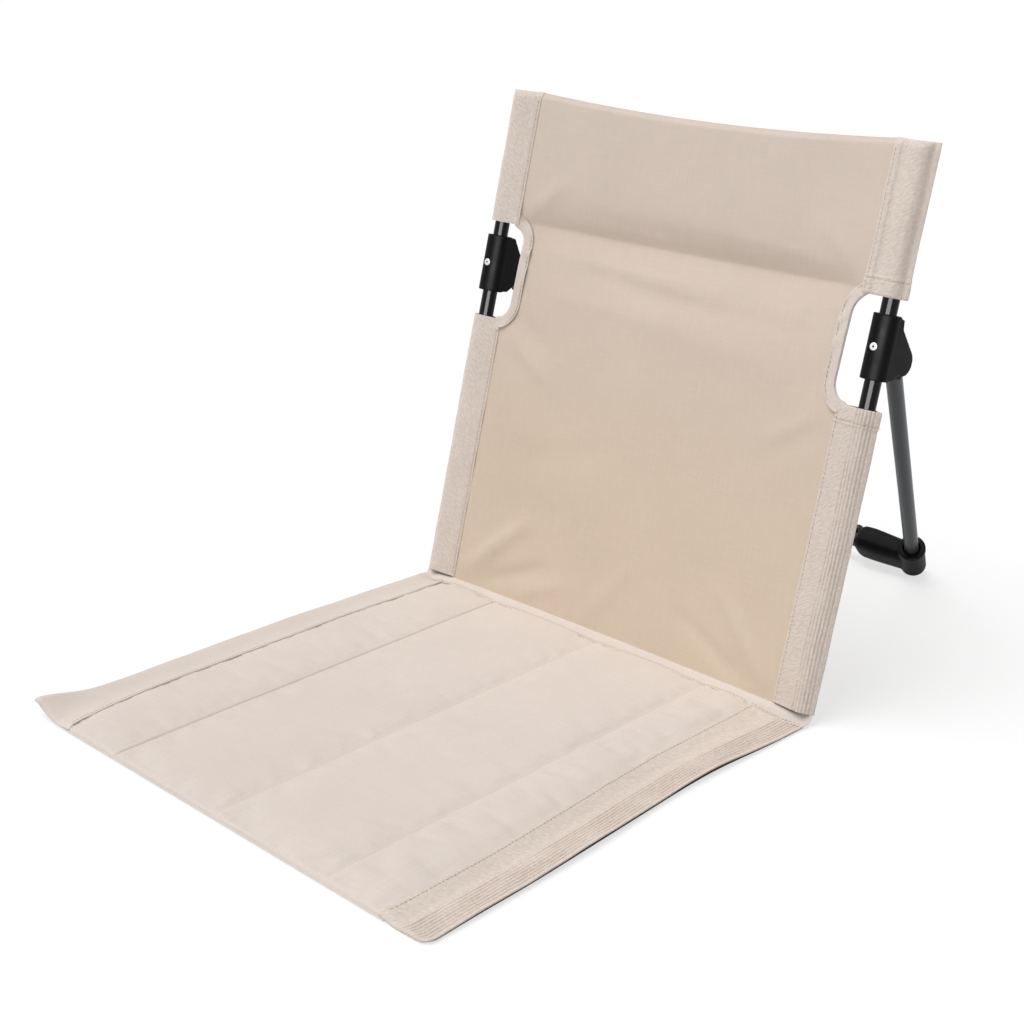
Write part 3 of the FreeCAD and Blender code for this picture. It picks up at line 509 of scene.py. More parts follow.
def tip_curl(side_way, along):
    """How far the front left corner curls up off the floor."""
    near_front = bump(along, MAT_FRONT, 34 * MM)
    return 9 * MM * near_front * np.clip((side_way - PAD_SIDE) / (38 * MM), 0, 1) ** 1.9


def strip_point(side, share, along, lift=0.0):
    """A point on an edge strip, from its inner edge at 0 to its outer edge at 1."""
    wander = uneven(along, np.zeros_like(along), 38 * MM, 3.3 + side)
    near_front = bump(along, MAT_FRONT, 9 * MM)
    inner = pad_side(side, along) - 2.5 * MM + 0.3 * MM * wander - 2 * MM * near_front
    high = pad_height(side * inner, along) + STRIP_LIFT
    if side < 0:
        outer = MAT_SIDE - corner_inset(along, LEFT_CORNER) + 0.6 * MM * uneven(along, along, 50 * MM, 8.8)
        outer = outer + 7 * MM * (1 - smooth(along, 40 * MM, 190 * MM))
        outer = outer + 3 * MM * bump(along, MAT_FRONT, 26 * MM)
        curl = 2.6 * MM * smooth(share, 0.5, 1.0) * (0.7 + 0.3 * uneven(along, along * 0, 60 * MM, 6.1))
    else:
        outer = MAT_SIDE - corner_inset(along, RIGHT_CORNER) - edge_draw(along)
        curl = edge_wave(along) * smooth(share, 0.25, 1.0)
    across = inner + (outer - inner) * share
    if side < 0:
        curl = curl + tip_curl(across, along)
    front = smooth(along, MAT_FRONT, MAT_FRONT + 5 * MM)
    fall = smooth(share, 0.0, 0.42) ** 0.8
    height = (high + (STRIP_HEIGHT - high) * fall) * (0.62 + 0.38 * front) + curl + lift
    if side > 0:
        height -= RIB_DEPTH * front * sewn_rows(outer - across, along, 3.4 * MM, 22 * MM, 1.2)
    height += 0.25 * MM * uneven(along, across, 18 * MM, 9.4 + side)
    return np.stack((side * across, along, height), axis=-1)


def mat_top(across, along):
    """Height of the mat's upper face, over the pad and the edge strips."""
    top = pad_height(across, along)
    for side in (-1, 1):
        inner = np.abs(strip_point(side, np.zeros_like(along), along)[:, 0])
        outer = np.abs(strip_point(side, np.ones_like(along), along)[:, 0])
        share = (side * across - inner) / (outer - inner)
        strip = strip_point(side, np.clip(share, 0, 1), along)[:, 2]
        top = np.where(share > 0, strip, top)
    return top


def through_knots(knots, share):
    """Run a smooth line through each point's own row of knots."""
    last = len(knots) - 1
    at = np.clip(share, 0, 1) * last
    index = np.minimum(at.astype(int), last - 1)
    t = (at - index)[:, None]
    who = np.arange(len(share))
    a, b, c, d = (knots[np.clip(index + k, 0, last), who] for k in (-1, 0, 1, 2))
    return between(a, b, c, d, t)


# Making meshes
CLOTH_ANGLE, THREAD_ANGLE, MOULD_ANGLE = 40, 70, 38
ROD_POINTS, SECTION_POINTS = 64, 32
ROUNDNESS = 0.55
STITCH_BREADTH, STITCH_SHARE, STITCH_PROUD = 1.15, 0.86, 0.15
BACK_PLACE = Matrix.Translation((0, HINGE_Y, HINGE_Z)) @ Matrix.Rotation(-RECLINE, 4, "X")


def clear_selection():
    """Leave edit mode and deselect everything."""
    if bpy.context.object and bpy.context.object.mode != "OBJECT":
        bpy.ops.object.mode_set(mode="OBJECT")
    bpy.ops.object.select_all(action="DESELECT")


def select_only(*pieces):
    """Select some pieces and make the first one active."""
    clear_selection()
    for piece in pieces:
        piece.select_set(True)
    bpy.context.view_layer.objects.active = pieces[0]


def joined(pieces, name):
    """Join pieces into one and name it."""
    select_only(*pieces)
    if len(pieces) > 1:
        bpy.ops.object.join()
    piece = bpy.context.object
    piece.name = piece.data.name = name
    return piece


def face_outward():
    """Turn the faces of the active mesh outward."""
    bpy.ops.object.mode_set(mode="EDIT")
    bpy.ops.mesh.select_all(action="SELECT")
    bpy.ops.mesh.normals_make_consistent(inside=False)
    bpy.ops.object.mode_set(mode="OBJECT")


def apply_modifiers(piece):
    """Apply a piece's modifiers in order."""
    select_only(piece)
    for modifier in [m.name for m in piece.modifiers]:
        bpy.ops.object.modifier_apply(modifier=modifier)


def add_sheet(name, columns, rows, place, thickness=0.0, offset=-1.0):
    """Add a grid of cloth, put each point where place says, and give the cloth its thickness.

    place takes each point's shares across and along, and gives its place and its cloth measures in metres.
    """
    clear_selection()
    bpy.ops.mesh.primitive_grid_add(x_subdivisions=columns, y_subdivisions=rows, size=1)
    piece = bpy.context.object
    piece.name = piece.data.name = name
    mesh = piece.data
    flat = np.empty(len(mesh.vertices) * 3)
    mesh.vertices.foreach_get("co", flat)
    flat = flat.reshape(-1, 3)
    points, measures = place(np.clip(flat[:, 0] + 0.5, 0, 1), np.clip(flat[:, 1] + 0.5, 0, 1))
    mesh.vertices.foreach_set("co", np.ascontiguousarray(points, dtype=np.float64).ravel())
    corners = np.empty(len(mesh.loops), dtype=np.int32)
    mesh.loops.foreach_get("vertex_index", corners)
    layer = mesh.uv_layers[0] if mesh.uv_layers else mesh.uv_layers.new(name="UVMap")
    layer.data.foreach_set("uv", np.ascontiguousarray(measures[corners], dtype=np.float64).ravel())
    mesh.update()
    if thickness:
        solid = piece.modifiers.new("Thickness", "SOLIDIFY")
        solid.thickness, solid.offset, solid.use_even_offset = thickness, offset, False
        apply_modifiers(piece)
    shade_soft(piece)
    return piece


def shade_soft(piece, degrees=CLOTH_ANGLE):
    """Shade a piece smooth, but not over its sharp edges."""
    select_only(piece)
    bpy.ops.object.shade_smooth_by_angle(angle=math.radians(degrees))


def add_stitches(name, runs):
    """Sew rows of stitches: one stitch, repeated along each run's curve."""
    c = cloth()
    rows = []
    for index, run in enumerate(runs):
        curve = bpy.data.curves.new(f"{name}_line_{index}", "CURVE")
        curve.dimensions = "3D"
        spline = curve.splines.new("POLY")
        spline.points.add(len(run) - 1)
        spline.points.foreach_set("co", np.column_stack((run, np.ones(len(run)))).ravel())
        line = bpy.data.objects.new(curve.name, curve)
        bpy.context.scene.collection.objects.link(line)
        clear_selection()
        bpy.ops.mesh.primitive_uv_sphere_add(
            segments=6, ring_count=4, radius=0.5, rotation=(0, math.pi / 2, 0)
        )
        row = bpy.context.object
        row.scale = (c.stitch_width, c.stitch_width * STITCH_BREADTH, c.stitch_pitch * STITCH_SHARE)
        row.location = (c.stitch_pitch / 2, 0, 0)
        bpy.ops.object.transform_apply(location=True, rotation=True, scale=True)
        repeat = row.modifiers.new("Repeat", "ARRAY")
        repeat.fit_type, repeat.curve = "FIT_CURVE", line
        repeat.use_relative_offset, repeat.use_constant_offset = False, True
        repeat.constant_offset_displace = (c.stitch_pitch, 0, 0)
        follow = row.modifiers.new("Follow", "CURVE")
        follow.object, follow.deform_axis = line, "POS_X"
        apply_modifiers(row)
        rows.append(row)
        bpy.data.objects.remove(line)
    piece = joined(rows, name)
    shade_soft(piece, THREAD_ANGLE)
    return piece


def settle(piece, place=None):
    """Put a piece's place, turn and size into its mesh."""
    if place is not None:
        piece.matrix_world = place @ piece.matrix_world
        bpy.context.view_layer.update()
    select_only(piece)
    bpy.ops.object.transform_apply(location=True, rotation=True, scale=True)
    return piece


def add_rod(radius, start, end, end_radius=None):
    """Add a round rod or cone between two points."""
    start, end = Vector(start), Vector(end)
    end_radius = radius if end_radius is None else end_radius
    clear_selection()
    bpy.ops.mesh.primitive_cone_add(
        vertices=ROD_POINTS, radius1=radius, radius2=end_radius, depth=(end - start).length
    )
    turn = (end - start).to_track_quat("Z", "Y").to_matrix().to_4x4()
    return settle(bpy.context.object, Matrix.Translation((start + end) / 2) @ turn)


def add_block(low, high):
    """Add a block between two corners."""
    low, high = Vector(low), Vector(high)
    clear_selection()
    bpy.ops.mesh.primitive_cube_add(size=1)
    place = Matrix.Translation((low + high) / 2) @ Matrix.Diagonal((*(high - low), 1))
    return settle(bpy.context.object, place)


def add_plate(outline, low, high):
    """Draw an outline behind and up the back, and pull it across into a plate."""
    clear_selection()
    bpy.ops.mesh.primitive_circle_add(vertices=len(outline), radius=1, fill_type="NGON")
    plate = bpy.context.object
    for vertex, (behind, up) in zip(plate.data.vertices, outline):
        vertex.co = (low, behind, up)
    bpy.ops.object.mode_set(mode="EDIT")
    bpy.ops.mesh.select_all(action="SELECT")
    bpy.ops.mesh.extrude_region_move(TRANSFORM_OT_translate={"value": (high - low, 0, 0)})
    face_outward()
    return plate


def add_swelling(stations):
    """Pull a rounded section along X through stations of place, half sizes and centre."""
    clear_selection()
    bpy.ops.mesh.primitive_circle_add(vertices=SECTION_POINTS, radius=1, fill_type="NGON")
    body = bpy.context.object
    turns = np.linspace(0, 2 * math.pi, SECTION_POINTS, endpoint=False)
    round_y = np.sign(np.cos(turns)) * np.abs(np.cos(turns)) ** ROUNDNESS
    round_z = np.sign(np.sin(turns)) * np.abs(np.sin(turns)) ** ROUNDNESS
    for number, (x, half_y, half_z, y, z) in enumerate(stations):
        if number:
            bpy.ops.object.mode_set(mode="EDIT")
            bpy.ops.mesh.extrude_region_move()
            bpy.ops.object.mode_set(mode="OBJECT")
        ring = [vertex for vertex in body.data.vertices if vertex.select]
        for vertex, a, b in zip(ring, round_y, round_z):
            vertex.co = (x, y + half_y * a, z + half_z * b)
    face_outward()
    return body


def mould(name, parts, cutters, grain, rounds):
    """Melt parts into one moulding of a given grain, round it, then cut its bores and slots."""
    piece = joined(parts, name)
    melt = piece.modifiers.new("Melt", "REMESH")
    melt.mode, melt.voxel_size = "VOXEL", grain
    soften = piece.modifiers.new("Soften", "SMOOTH")
    soften.factor, soften.iterations = 0.5, rounds
    for cutter in cutters:
        cut = piece.modifiers.new("Cut", "BOOLEAN")
        cut.operation, cut.solver, cut.object = "DIFFERENCE", "EXACT", cutter
    apply_modifiers(piece)
    for cutter in cutters:
        bpy.data.objects.remove(cutter)
    shade_soft(piece, MOULD_ANGLE)
    return piece


def mirrored(piece, name):
    """Copy a piece to the other side of the chair."""
    clear_selection()
    copy = bpy.data.objects.new(name, piece.data.copy())
    copy.data.name = name
    bpy.context.scene.collection.objects.link(copy)
    copy.matrix_world = Matrix.Scale(-1, 4, (1, 0, 0))
    settle(copy)
    face_outward()
    shade_soft(copy, MOULD_ANGLE)
    return copy


def dress(piece, material, body, slot_name, *nodes):
    """Give a piece its finish, the body it moves with, if it is one, and the nodes it stands for."""
    piece.data.materials.clear()
    piece.data.materials.append(material)
    if body:
        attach(piece, body)
    if nodes:
        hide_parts(*nodes)


def flatten_with_fold(piece):
    """Give a piece of the back's cloth a mesh of its own."""
    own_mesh(piece)


# Shader parts

def add_node(tree, kind, inputs=None, **settings):
    """Add a node, set it up and join its inputs."""
    made = tree.nodes.new(kind)
    for key, value in settings.items():
        setattr(made, key, value)
    for key, value in (inputs or {}).items():
        if isinstance(value, bpy.types.NodeSocket):
            tree.links.new(value, made.inputs[key])
        else:
            made.inputs[key].default_value = value
    return made


def calc(tree, operation, *values):
    """Add a math node and give back its result."""
    return add_node(tree, "ShaderNodeMath", dict(enumerate(values)), operation=operation).outputs[0]


def remap(tree, value, low, high, to_low, to_high):
    """Move a value from one range to another."""
    made = add_node(tree, "ShaderNodeMapRange", {"Value": value})
    for key, number in zip(("From Min", "From Max", "To Min", "To Max"), (low, high, to_low, to_high)):
        made.inputs[key].default_value = number
    return made.outputs["Result"]


def patches(tree, vector, scale, detail=2.0, roughness=0.5):
    """Add a noise texture and give back its value."""
    made = add_node(tree, "ShaderNodeTexNoise", {"Vector": vector, "Scale": scale})
    made.inputs["Detail"].default_value, made.inputs["Roughness"].default_value = detail, roughness
    return made.outputs[0]


def stretched(tree, vector, x, y, z=1.0):
    """Scale a vector differently along its axes."""
    return add_node(tree, "ShaderNodeMapping", {"Vector": vector, "Scale": (x, y, z)}).outputs[0]


def start_group(name, inputs, outputs):
    """Start a node group with named sockets, and give back its tree, its input node and its output node."""
    tree = bpy.data.node_groups.new(name, "ShaderNodeTree")
    kinds = {"v": "NodeSocketVector", "f": "NodeSocketFloat", "c": "NodeSocketColor"}
    for label, kind in inputs:
        tree.interface.new_socket(label, in_out="INPUT", socket_type=kinds[kind])
    for label, kind in outputs:
        tree.interface.new_socket(label, in_out="OUTPUT", socket_type=kinds[kind])
    return tree, tree.nodes.new("NodeGroupInput"), tree.nodes.new("NodeGroupOutput")


def made_once(build):
    """Let a node group be built at its first use and found again afterwards."""
    def group():
        name = build.__name__
        return bpy.data.node_groups[name] if name in bpy.data.node_groups else build()
    return group


@made_once
def plain_weave():
    """Over and under threads of a canvas, its slubs, its slanting lines and its crepe."""
    tree, enter, leave = start_group(
        "plain_weave", (("Cloth", "v"), ("Pitch", "f")), (("Height", "f"), ("Slub", "f"), ("Crepe", "f"))
    )
    parts = add_node(tree, "ShaderNodeSeparateXYZ", {0: enter.outputs["Cloth"]})
    u = calc(tree, "DIVIDE", parts.outputs[0], enter.outputs["Pitch"])
    v = calc(tree, "DIVIDE", parts.outputs[1], enter.outputs["Pitch"])
    threads = []
    for across, along, way in ((u, v, 0.5), (v, u, -0.5)):
        ridge = calc(tree, "ABSOLUTE", calc(tree, "SINE", calc(tree, "MULTIPLY", across, math.pi)))
        phase = calc(tree, "ADD", along, calc(tree, "FLOOR", across))
        wave = calc(tree, "SINE", calc(tree, "MULTIPLY", phase, math.pi))
        over = calc(tree, "MULTIPLY_ADD", wave, way, 0.5)
        threads.append(calc(tree, "MULTIPLY", ridge, over))
    tree.links.new(calc(tree, "MAXIMUM", *threads), leave.inputs["Height"])
    grid = add_node(tree, "ShaderNodeCombineXYZ", {0: u, 1: v}).outputs[0]
    warp = patches(tree, stretched(tree, grid, 0.8, 0.03), 1.0, 1.0)
    weft = patches(tree, stretched(tree, grid, 0.03, 0.8), 1.0, 1.0)
    slub = calc(tree, "MULTIPLY", calc(tree, "ADD", warp, weft), 0.5)
    twill = calc(tree, "SINE", calc(tree, "MULTIPLY", calc(tree, "ADD", u, v), 2 * math.pi / 4.6))
    tree.links.new(calc(tree, "MULTIPLY_ADD", twill, 0.05, slub), leave.inputs["Slub"])
    turned = {"Vector": enter.outputs["Cloth"], "Rotation": (0, 0, -0.62)}
    slanted = add_node(tree, "ShaderNodeMapping", turned).outputs[0]
    crepe = patches(tree, stretched(tree, slanted, 230, 620), 1.0, 1.5, 0.6)
    tree.links.new(remap(tree, crepe, 0.32, 0.68, 0, 1), leave.inputs["Crepe"])
    return tree


@made_once
def cloth_shade():
    """Colour of a cloth with painted shade in its thread gaps and crepe hollows, its slubs and slight
    fading.
    """
    tree, enter, leave = start_group(
        "cloth_shade",
        (("Place", "v"), ("Colour", "c"), ("Height", "f"), ("Slub", "f"), ("Mottle", "f"), ("Crepe", "f")),
        (("Colour", "c"), ("Roughness", "f")),
    )
    wide = remap(tree, patches(tree, enter.outputs["Place"], 14, 3), 0.3, 0.7, -1, 1)
    fade = calc(tree, "MULTIPLY_ADD", wide, enter.outputs["Mottle"], 1.0)
    # Painted shade: the colour darkens where the weave's threads sink.
    painted_gap_shade = remap(tree, enter.outputs["Height"], 0.0, 0.7, 0.80, 1.03)
    slubs = remap(tree, enter.outputs["Slub"], 0.3, 0.7, 0.955, 1.035)
    # The crepe factor darkens the crinkles' hollows: painted shade, besides the random fading.
    faded_and_crepe_shaded = calc(tree, "MULTIPLY", fade, enter.outputs["Crepe"])
    value = calc(tree, "MULTIPLY", faded_and_crepe_shaded, calc(tree, "MULTIPLY", painted_gap_shade, slubs))
    hue = remap(tree, patches(tree, enter.outputs["Place"], 22, 2), 0.3, 0.7, 0.497, 0.503)
    tinted = {"Color": enter.outputs["Colour"], "Value": value, "Hue": hue}
    shade = add_node(tree, "ShaderNodeHueSaturation", tinted)
    tree.links.new(shade.outputs[0], leave.inputs["Colour"])
    tree.links.new(remap(tree, enter.outputs["Height"], 0, 1, 0.97, 0.84), leave.inputs["Roughness"])
    return tree


HARD_INPUTS = (("Place", "v"), ("Colour", "c"), ("Gloss", "f"))
HARD_OUTPUTS = (("Colour", "c"), ("Roughness", "f"), ("Height", "f"))


@made_once
def moulded_grain():
    """Fine grain, sheen patches and light rubbing of moulded plastic."""
    tree, enter, leave = start_group("moulded_grain", HARD_INPUTS, HARD_OUTPUTS)
    place = enter.outputs["Place"]
    grain = patches(tree, place, 2200, 1.5)
    rub = remap(tree, patches(tree, place, 160, 4, 0.65), 0.52, 0.72, 0, 1)
    value = calc(tree, "MULTIPLY_ADD", rub, 0.35, 0.95)
    shade = add_node(tree, "ShaderNodeHueSaturation", {"Color": enter.outputs["Colour"], "Value": value})
    uneven_gloss = remap(tree, patches(tree, place, 60, 3), 0.3, 0.7, -0.05, 0.07)
    gloss = calc(tree, "ADD", enter.outputs["Gloss"], uneven_gloss)
    rough = calc(tree, "ADD", gloss, calc(tree, "MULTIPLY", rub, 0.06))
    tree.links.new(shade.outputs[0], leave.inputs["Colour"])
    tree.links.new(rough, leave.inputs["Roughness"])
    tree.links.new(grain, leave.inputs["Height"])
    return tree


@made_once
def enamel_flow():
    """Orange peel, faint handling marks and tiny dust of an enamelled tube."""
    tree, enter, leave = start_group("enamel_flow", HARD_INPUTS, HARD_OUTPUTS)
    place = enter.outputs["Place"]
    peel = patches(tree, place, 420, 1.0)
    marks = remap(tree, patches(tree, stretched(tree, place, 300, 40, 40), 1.0, 4, 0.7), 0.56, 0.75, 0, 1)
    value = calc(tree, "MULTIPLY_ADD", marks, 0.02, 0.99)
    shade = add_node(tree, "ShaderNodeHueSaturation", {"Color": enter.outputs["Colour"], "Value": value})
    rough = calc(tree, "ADD", enter.outputs["Gloss"], calc(tree, "MULTIPLY", marks, 0.01))
    tree.links.new(shade.outputs[0], leave.inputs["Colour"])
    tree.links.new(rough, leave.inputs["Roughness"])
    tree.links.new(peel, leave.inputs["Height"])
    return tree


def start_material(name):
    """Give back a material with its tree and its shader, or with None for both if it was there before."""
    if name in bpy.data.materials:
        return bpy.data.materials[name], None, None
    material = bpy.data.materials.new(name)
    material.use_nodes = True
    tree = material.node_tree
    return material, tree, tree.nodes["Principled BSDF"]


def placed_group(tree, group, inputs):
    """Put a node group into a material."""
    return add_node(tree, "ShaderNodeGroup", inputs, node_tree=group).outputs


def add_bump(tree, shader, height, strength, distance):
    """Let a height raise the surface."""
    bump = add_node(tree, "ShaderNodeBump", {"Height": height, "Strength": strength, "Distance": distance})
    tree.links.new(bump.outputs[0], shader.inputs["Normal"])


# Heights over which the back's colour blends from its lower to its upper tone: a painted light gradient.
PAINTED_LIGHT_HEIGHTS = (0.1, 0.36)


def canvas_finish(name, tint, pitch, mottle=0.035, sheen=0.12, relief=0.16 * MM, crepe=0.0, above=None):
    """Woven cloth whose threads follow the cloth's own measures, blended by height into a second colour if
    given, as painted light.
    """
    material, tree, shader = start_material(name)
    if shader is None:
        return material
    where = tree.nodes.new("ShaderNodeTexCoord")
    # Painted light: blend the colour by height from tint up to the upper tone.
    if above is not None:
        height = add_node(tree, "ShaderNodeSeparateXYZ", {0: where.outputs["Object"]}).outputs[2]
        share = remap(tree, height, *PAINTED_LIGHT_HEIGHTS, 0, 1)
        tint = add_node(tree, "ShaderNodeMix", {0: share, 6: tint, 7: above}, data_type="RGBA").outputs[2]
    weave = placed_group(tree, plain_weave(), {"Cloth": where.outputs["UV"], "Pitch": pitch})
    # The crepe tone follows the crepe bump, darker where the crinkles sink: painted shade.
    shade = placed_group(tree, cloth_shade(), {
        "Place": where.outputs["Object"], "Colour": tint, "Height": weave["Height"], "Slub": weave["Slub"],
        "Mottle": mottle, "Crepe": remap(tree, weave["Crepe"], 0, 1, 1 - 0.06 * crepe, 1 + 0.04 * crepe),
    })
    tree.links.new(shade["Colour"], shader.inputs["Base Color"])
    tree.links.new(shade["Roughness"], shader.inputs["Roughness"])
    pucker = patches(tree, where.outputs["Object"], 130, 3, 0.55)
    soft = calc(tree, "MULTIPLY_ADD", weave["Crepe"], 1.6 * crepe, calc(tree, "MULTIPLY", pucker, 0.8))
    height = calc(tree, "ADD", weave["Height"], soft)
    add_bump(tree, shader, height, 0.7, relief)
    shader.inputs["Sheen Weight"].default_value = sheen
    shader.inputs["Sheen Roughness"].default_value = 0.5
    shader.inputs["Specular IOR Level"].default_value = 0.2
    return material


def hard_finish(name, tint, group, gloss, relief, shine=0.5, metallic=0.0):
    """Moulded plastic, enamel or metal from one of the shared groups."""
    material, tree, shader = start_material(name)
    if shader is None:
        return material
    where = tree.nodes.new("ShaderNodeTexCoord")
    made = placed_group(tree, group(), {"Place": where.outputs["Object"], "Colour": tint, "Gloss": gloss})
    tree.links.new(made["Colour"], shader.inputs["Base Color"])
    tree.links.new(made["Roughness"], shader.inputs["Roughness"])
    add_bump(tree, shader, made["Height"], 0.5, relief)
    shader.inputs["Metallic"].default_value = metallic
    shader.inputs["Specular IOR Level"].default_value = shine
    return material


def seat_canvas():
    return canvas_finish("seat_canvas_weave", colours().seat, 0.7 * MM, mottle=0.02)


def back_canvas():
    tints = colours()
    # The upper tone is painted light reflected from the mat, not a change in the cloth.
    return canvas_finish(
        "back_canvas_weave", tints.back, 0.7 * MM, mottle=0.02, relief=0.08 * MM, above=tints.back_above
    )


def strip_cloth():
    return canvas_finish("strip_cloth_weave", colours().strip, 0.6 * MM, mottle=0.03, crepe=1.5)


def tape_cloth():
    return canvas_finish("tape_cloth_weave", colours().tape, 0.5 * MM, mottle=0.03, crepe=0.5)


def underside_cloth():
    return canvas_finish("underside_cloth_weave", colours().underside, 0.55 * MM, sheen=0.05)


def sewing_thread():
    return canvas_finish("sewing_thread_twist", colours().thread, 0.3 * MM, relief=0.05 * MM)


def black_plastic():
    tint = colours().plastic
    return hard_finish("black_plastic_moulded", tint, moulded_grain, 0.42, 0.03 * MM, shine=0.07)


def gloss_plastic():
    return hard_finish("gloss_plastic_moulded", colours().plastic, moulded_grain, 0.2, 0.012 * MM, shine=0.3)


def back_enamel():
    return hard_finish("black_tube_enamel", colours().back_enamel, enamel_flow, 0.16, 0.001 * MM, shine=0.16)


def leg_enamel():
    return hard_finish("grey_leg_enamel", colours().leg_enamel, enamel_flow, 0.3, 0.001 * MM, shine=0.16)


def rivet_metal():
    return hard_finish("bright_rivet_metal", colours().rivet, enamel_flow, 0.3, 0.002 * MM, metallic=0.35)


def pin_metal():
    return hard_finish("plain_pin_steel", colours().pin, enamel_flow, 0.3, 0.01 * MM, metallic=1.0)


# Operators
SWELL_FRAMES, SWELL_CAP = 20, 1.1 * MM
BAND_REACH = 22.5 * MM
FLOOR_LIT, FLOOR_SEEN, FLOOR_GLOW = 0.8, 0.34, 0.67


class FLOORCHAIR_OT_back_panel(bpy.types.Operator):
    """Make the sagging canvas panel of the back"""
    bl_idname = "floor_chair.back_panel"
    bl_label = "Back Panel"

    def execute(self, context):
        c = cloth()
        heights = spread((
            (0.4 * MM, 3 * MM), (c.gap_low - 1 * MM, 1.0 * MM), (c.gap_low + 17 * MM, 3 * MM),
            (c.gap_high - 17 * MM, 1.0 * MM), (c.gap_high + 8 * MM, 3 * MM),
            (c.back_height - 14 * MM, 1 * MM), (c.back_height, 1 * MM),
        ))

        def place(across, along):
            up = at_share(heights, along)
            half = np.minimum(gap_edge(up), SEAM_X + 1 * MM)
            half = np.where((up > c.gap_low) & (up < c.gap_high), half, SEAM_X + 1 * MM)
            x = (2 * across - 1) * half
            up = up * panel_top(x) / c.back_height
            from_top = panel_top(x) - up
            lift = -2.5 * MM * (1 - smooth(from_top, 0, 6 * MM)) ** 1.5
            return panel_point(x, up, lift), np.stack((x, up), axis=-1)

        panel = add_sheet("back_panel_canvas", 120, len(heights) - 1, place, c.canvas_thickness)
        dress(panel, back_canvas(), "back", "back_canvas", "back_panel")
        flatten_with_fold(panel)
        return {"FINISHED"}


class FLOORCHAIR_OT_gap_tapes(bpy.types.Operator):
    """Fold binding tape over the cut edges of the side gaps"""
    bl_idname = "floor_chair.gap_tapes"
    bl_label = "Gap Tapes"

    def execute(self, context):
        c = cloth()
        line, out, reach = tape_line()
        for side, name in ((-1, "left"), (1, "right")):
            def place(across, along, side=side):
                across = across if side > 0 else 1 - across
                x, up = (at_share(line[:, k], along) * MM for k in (0, 1))
                out_x, out_up = (at_share(out[:, k], along) for k in (0, 1))
                turn = (across - 0.5) * 2
                aside = np.abs(turn)
                inward = (c.tape_width + 0.7 * MM) * aside - 0.7 * MM
                ripple = np.sin(along * reach / 4.1 + 3 * turn + 2.2 * np.sin(along * 9))
                pleat = 0.55 * MM * ripple * aside
                inward += 0.35 * MM * uneven(along * reach * MM, turn * MM, 9 * MM, 4.4 + side) * aside
                face = np.sign(turn) * 1.6 * MM * np.clip(aside / 0.12, 0, 1) ** 0.5 + pleat
                x, up = x - out_x * inward, up - out_up * inward
                behind = panel_depth(np.minimum(x, SEAM_X), up) + 0.45 * MM - face
                measures = np.stack((across * 22 * MM, along * reach * MM), axis=-1)
                return on_back(side * x, behind, up), measures

            tape = add_sheet(f"{name}_gap_tape", 24, 200, place, thickness=0.5 * MM, offset=0.0)
            dress(tape, tape_cloth(), "back", "strip_canvas", f"{name}_cutout_binding")
            flatten_with_fold(tape)
        return {"FINISHED"}


class FLOORCHAIR_OT_tube_pockets(bpy.types.Operator):
    """Sew the four pockets that hold the back tubes"""
    bl_idname = "floor_chair.tube_pockets"
    bl_label = "Tube Pockets"

    def execute(self, context):
        for pocket in pockets():
            heights = spread((
                (pocket.low, 0.6 * MM), (pocket.low + 18 * MM, 2.2 * MM),
                (pocket.high - 16 * MM, 0.6 * MM), (pocket.high, 1 * MM),
            ))
            steps = spread(((0, 0.008), (0.2, 0.0034 if pocket.ribs else 0.008), (0.43, 0.008), (1, 1)))

            def place(across, along, pocket=pocket, heights=heights, steps=steps):
                step = at_share(steps, across if pocket.side > 0 else 1 - across)
                up = at_share(heights, along)
                return pocket.point(step, up), np.stack((step * pocket.girth * MM, up), axis=-1)

            thickness = cloth().pocket_thickness
            piece = add_sheet(pocket.name, len(steps) - 1, len(heights) - 1, place, thickness)
            dress(piece, strip_cloth(), "back", "strip_canvas", pocket.node)
        return {"FINISHED"}


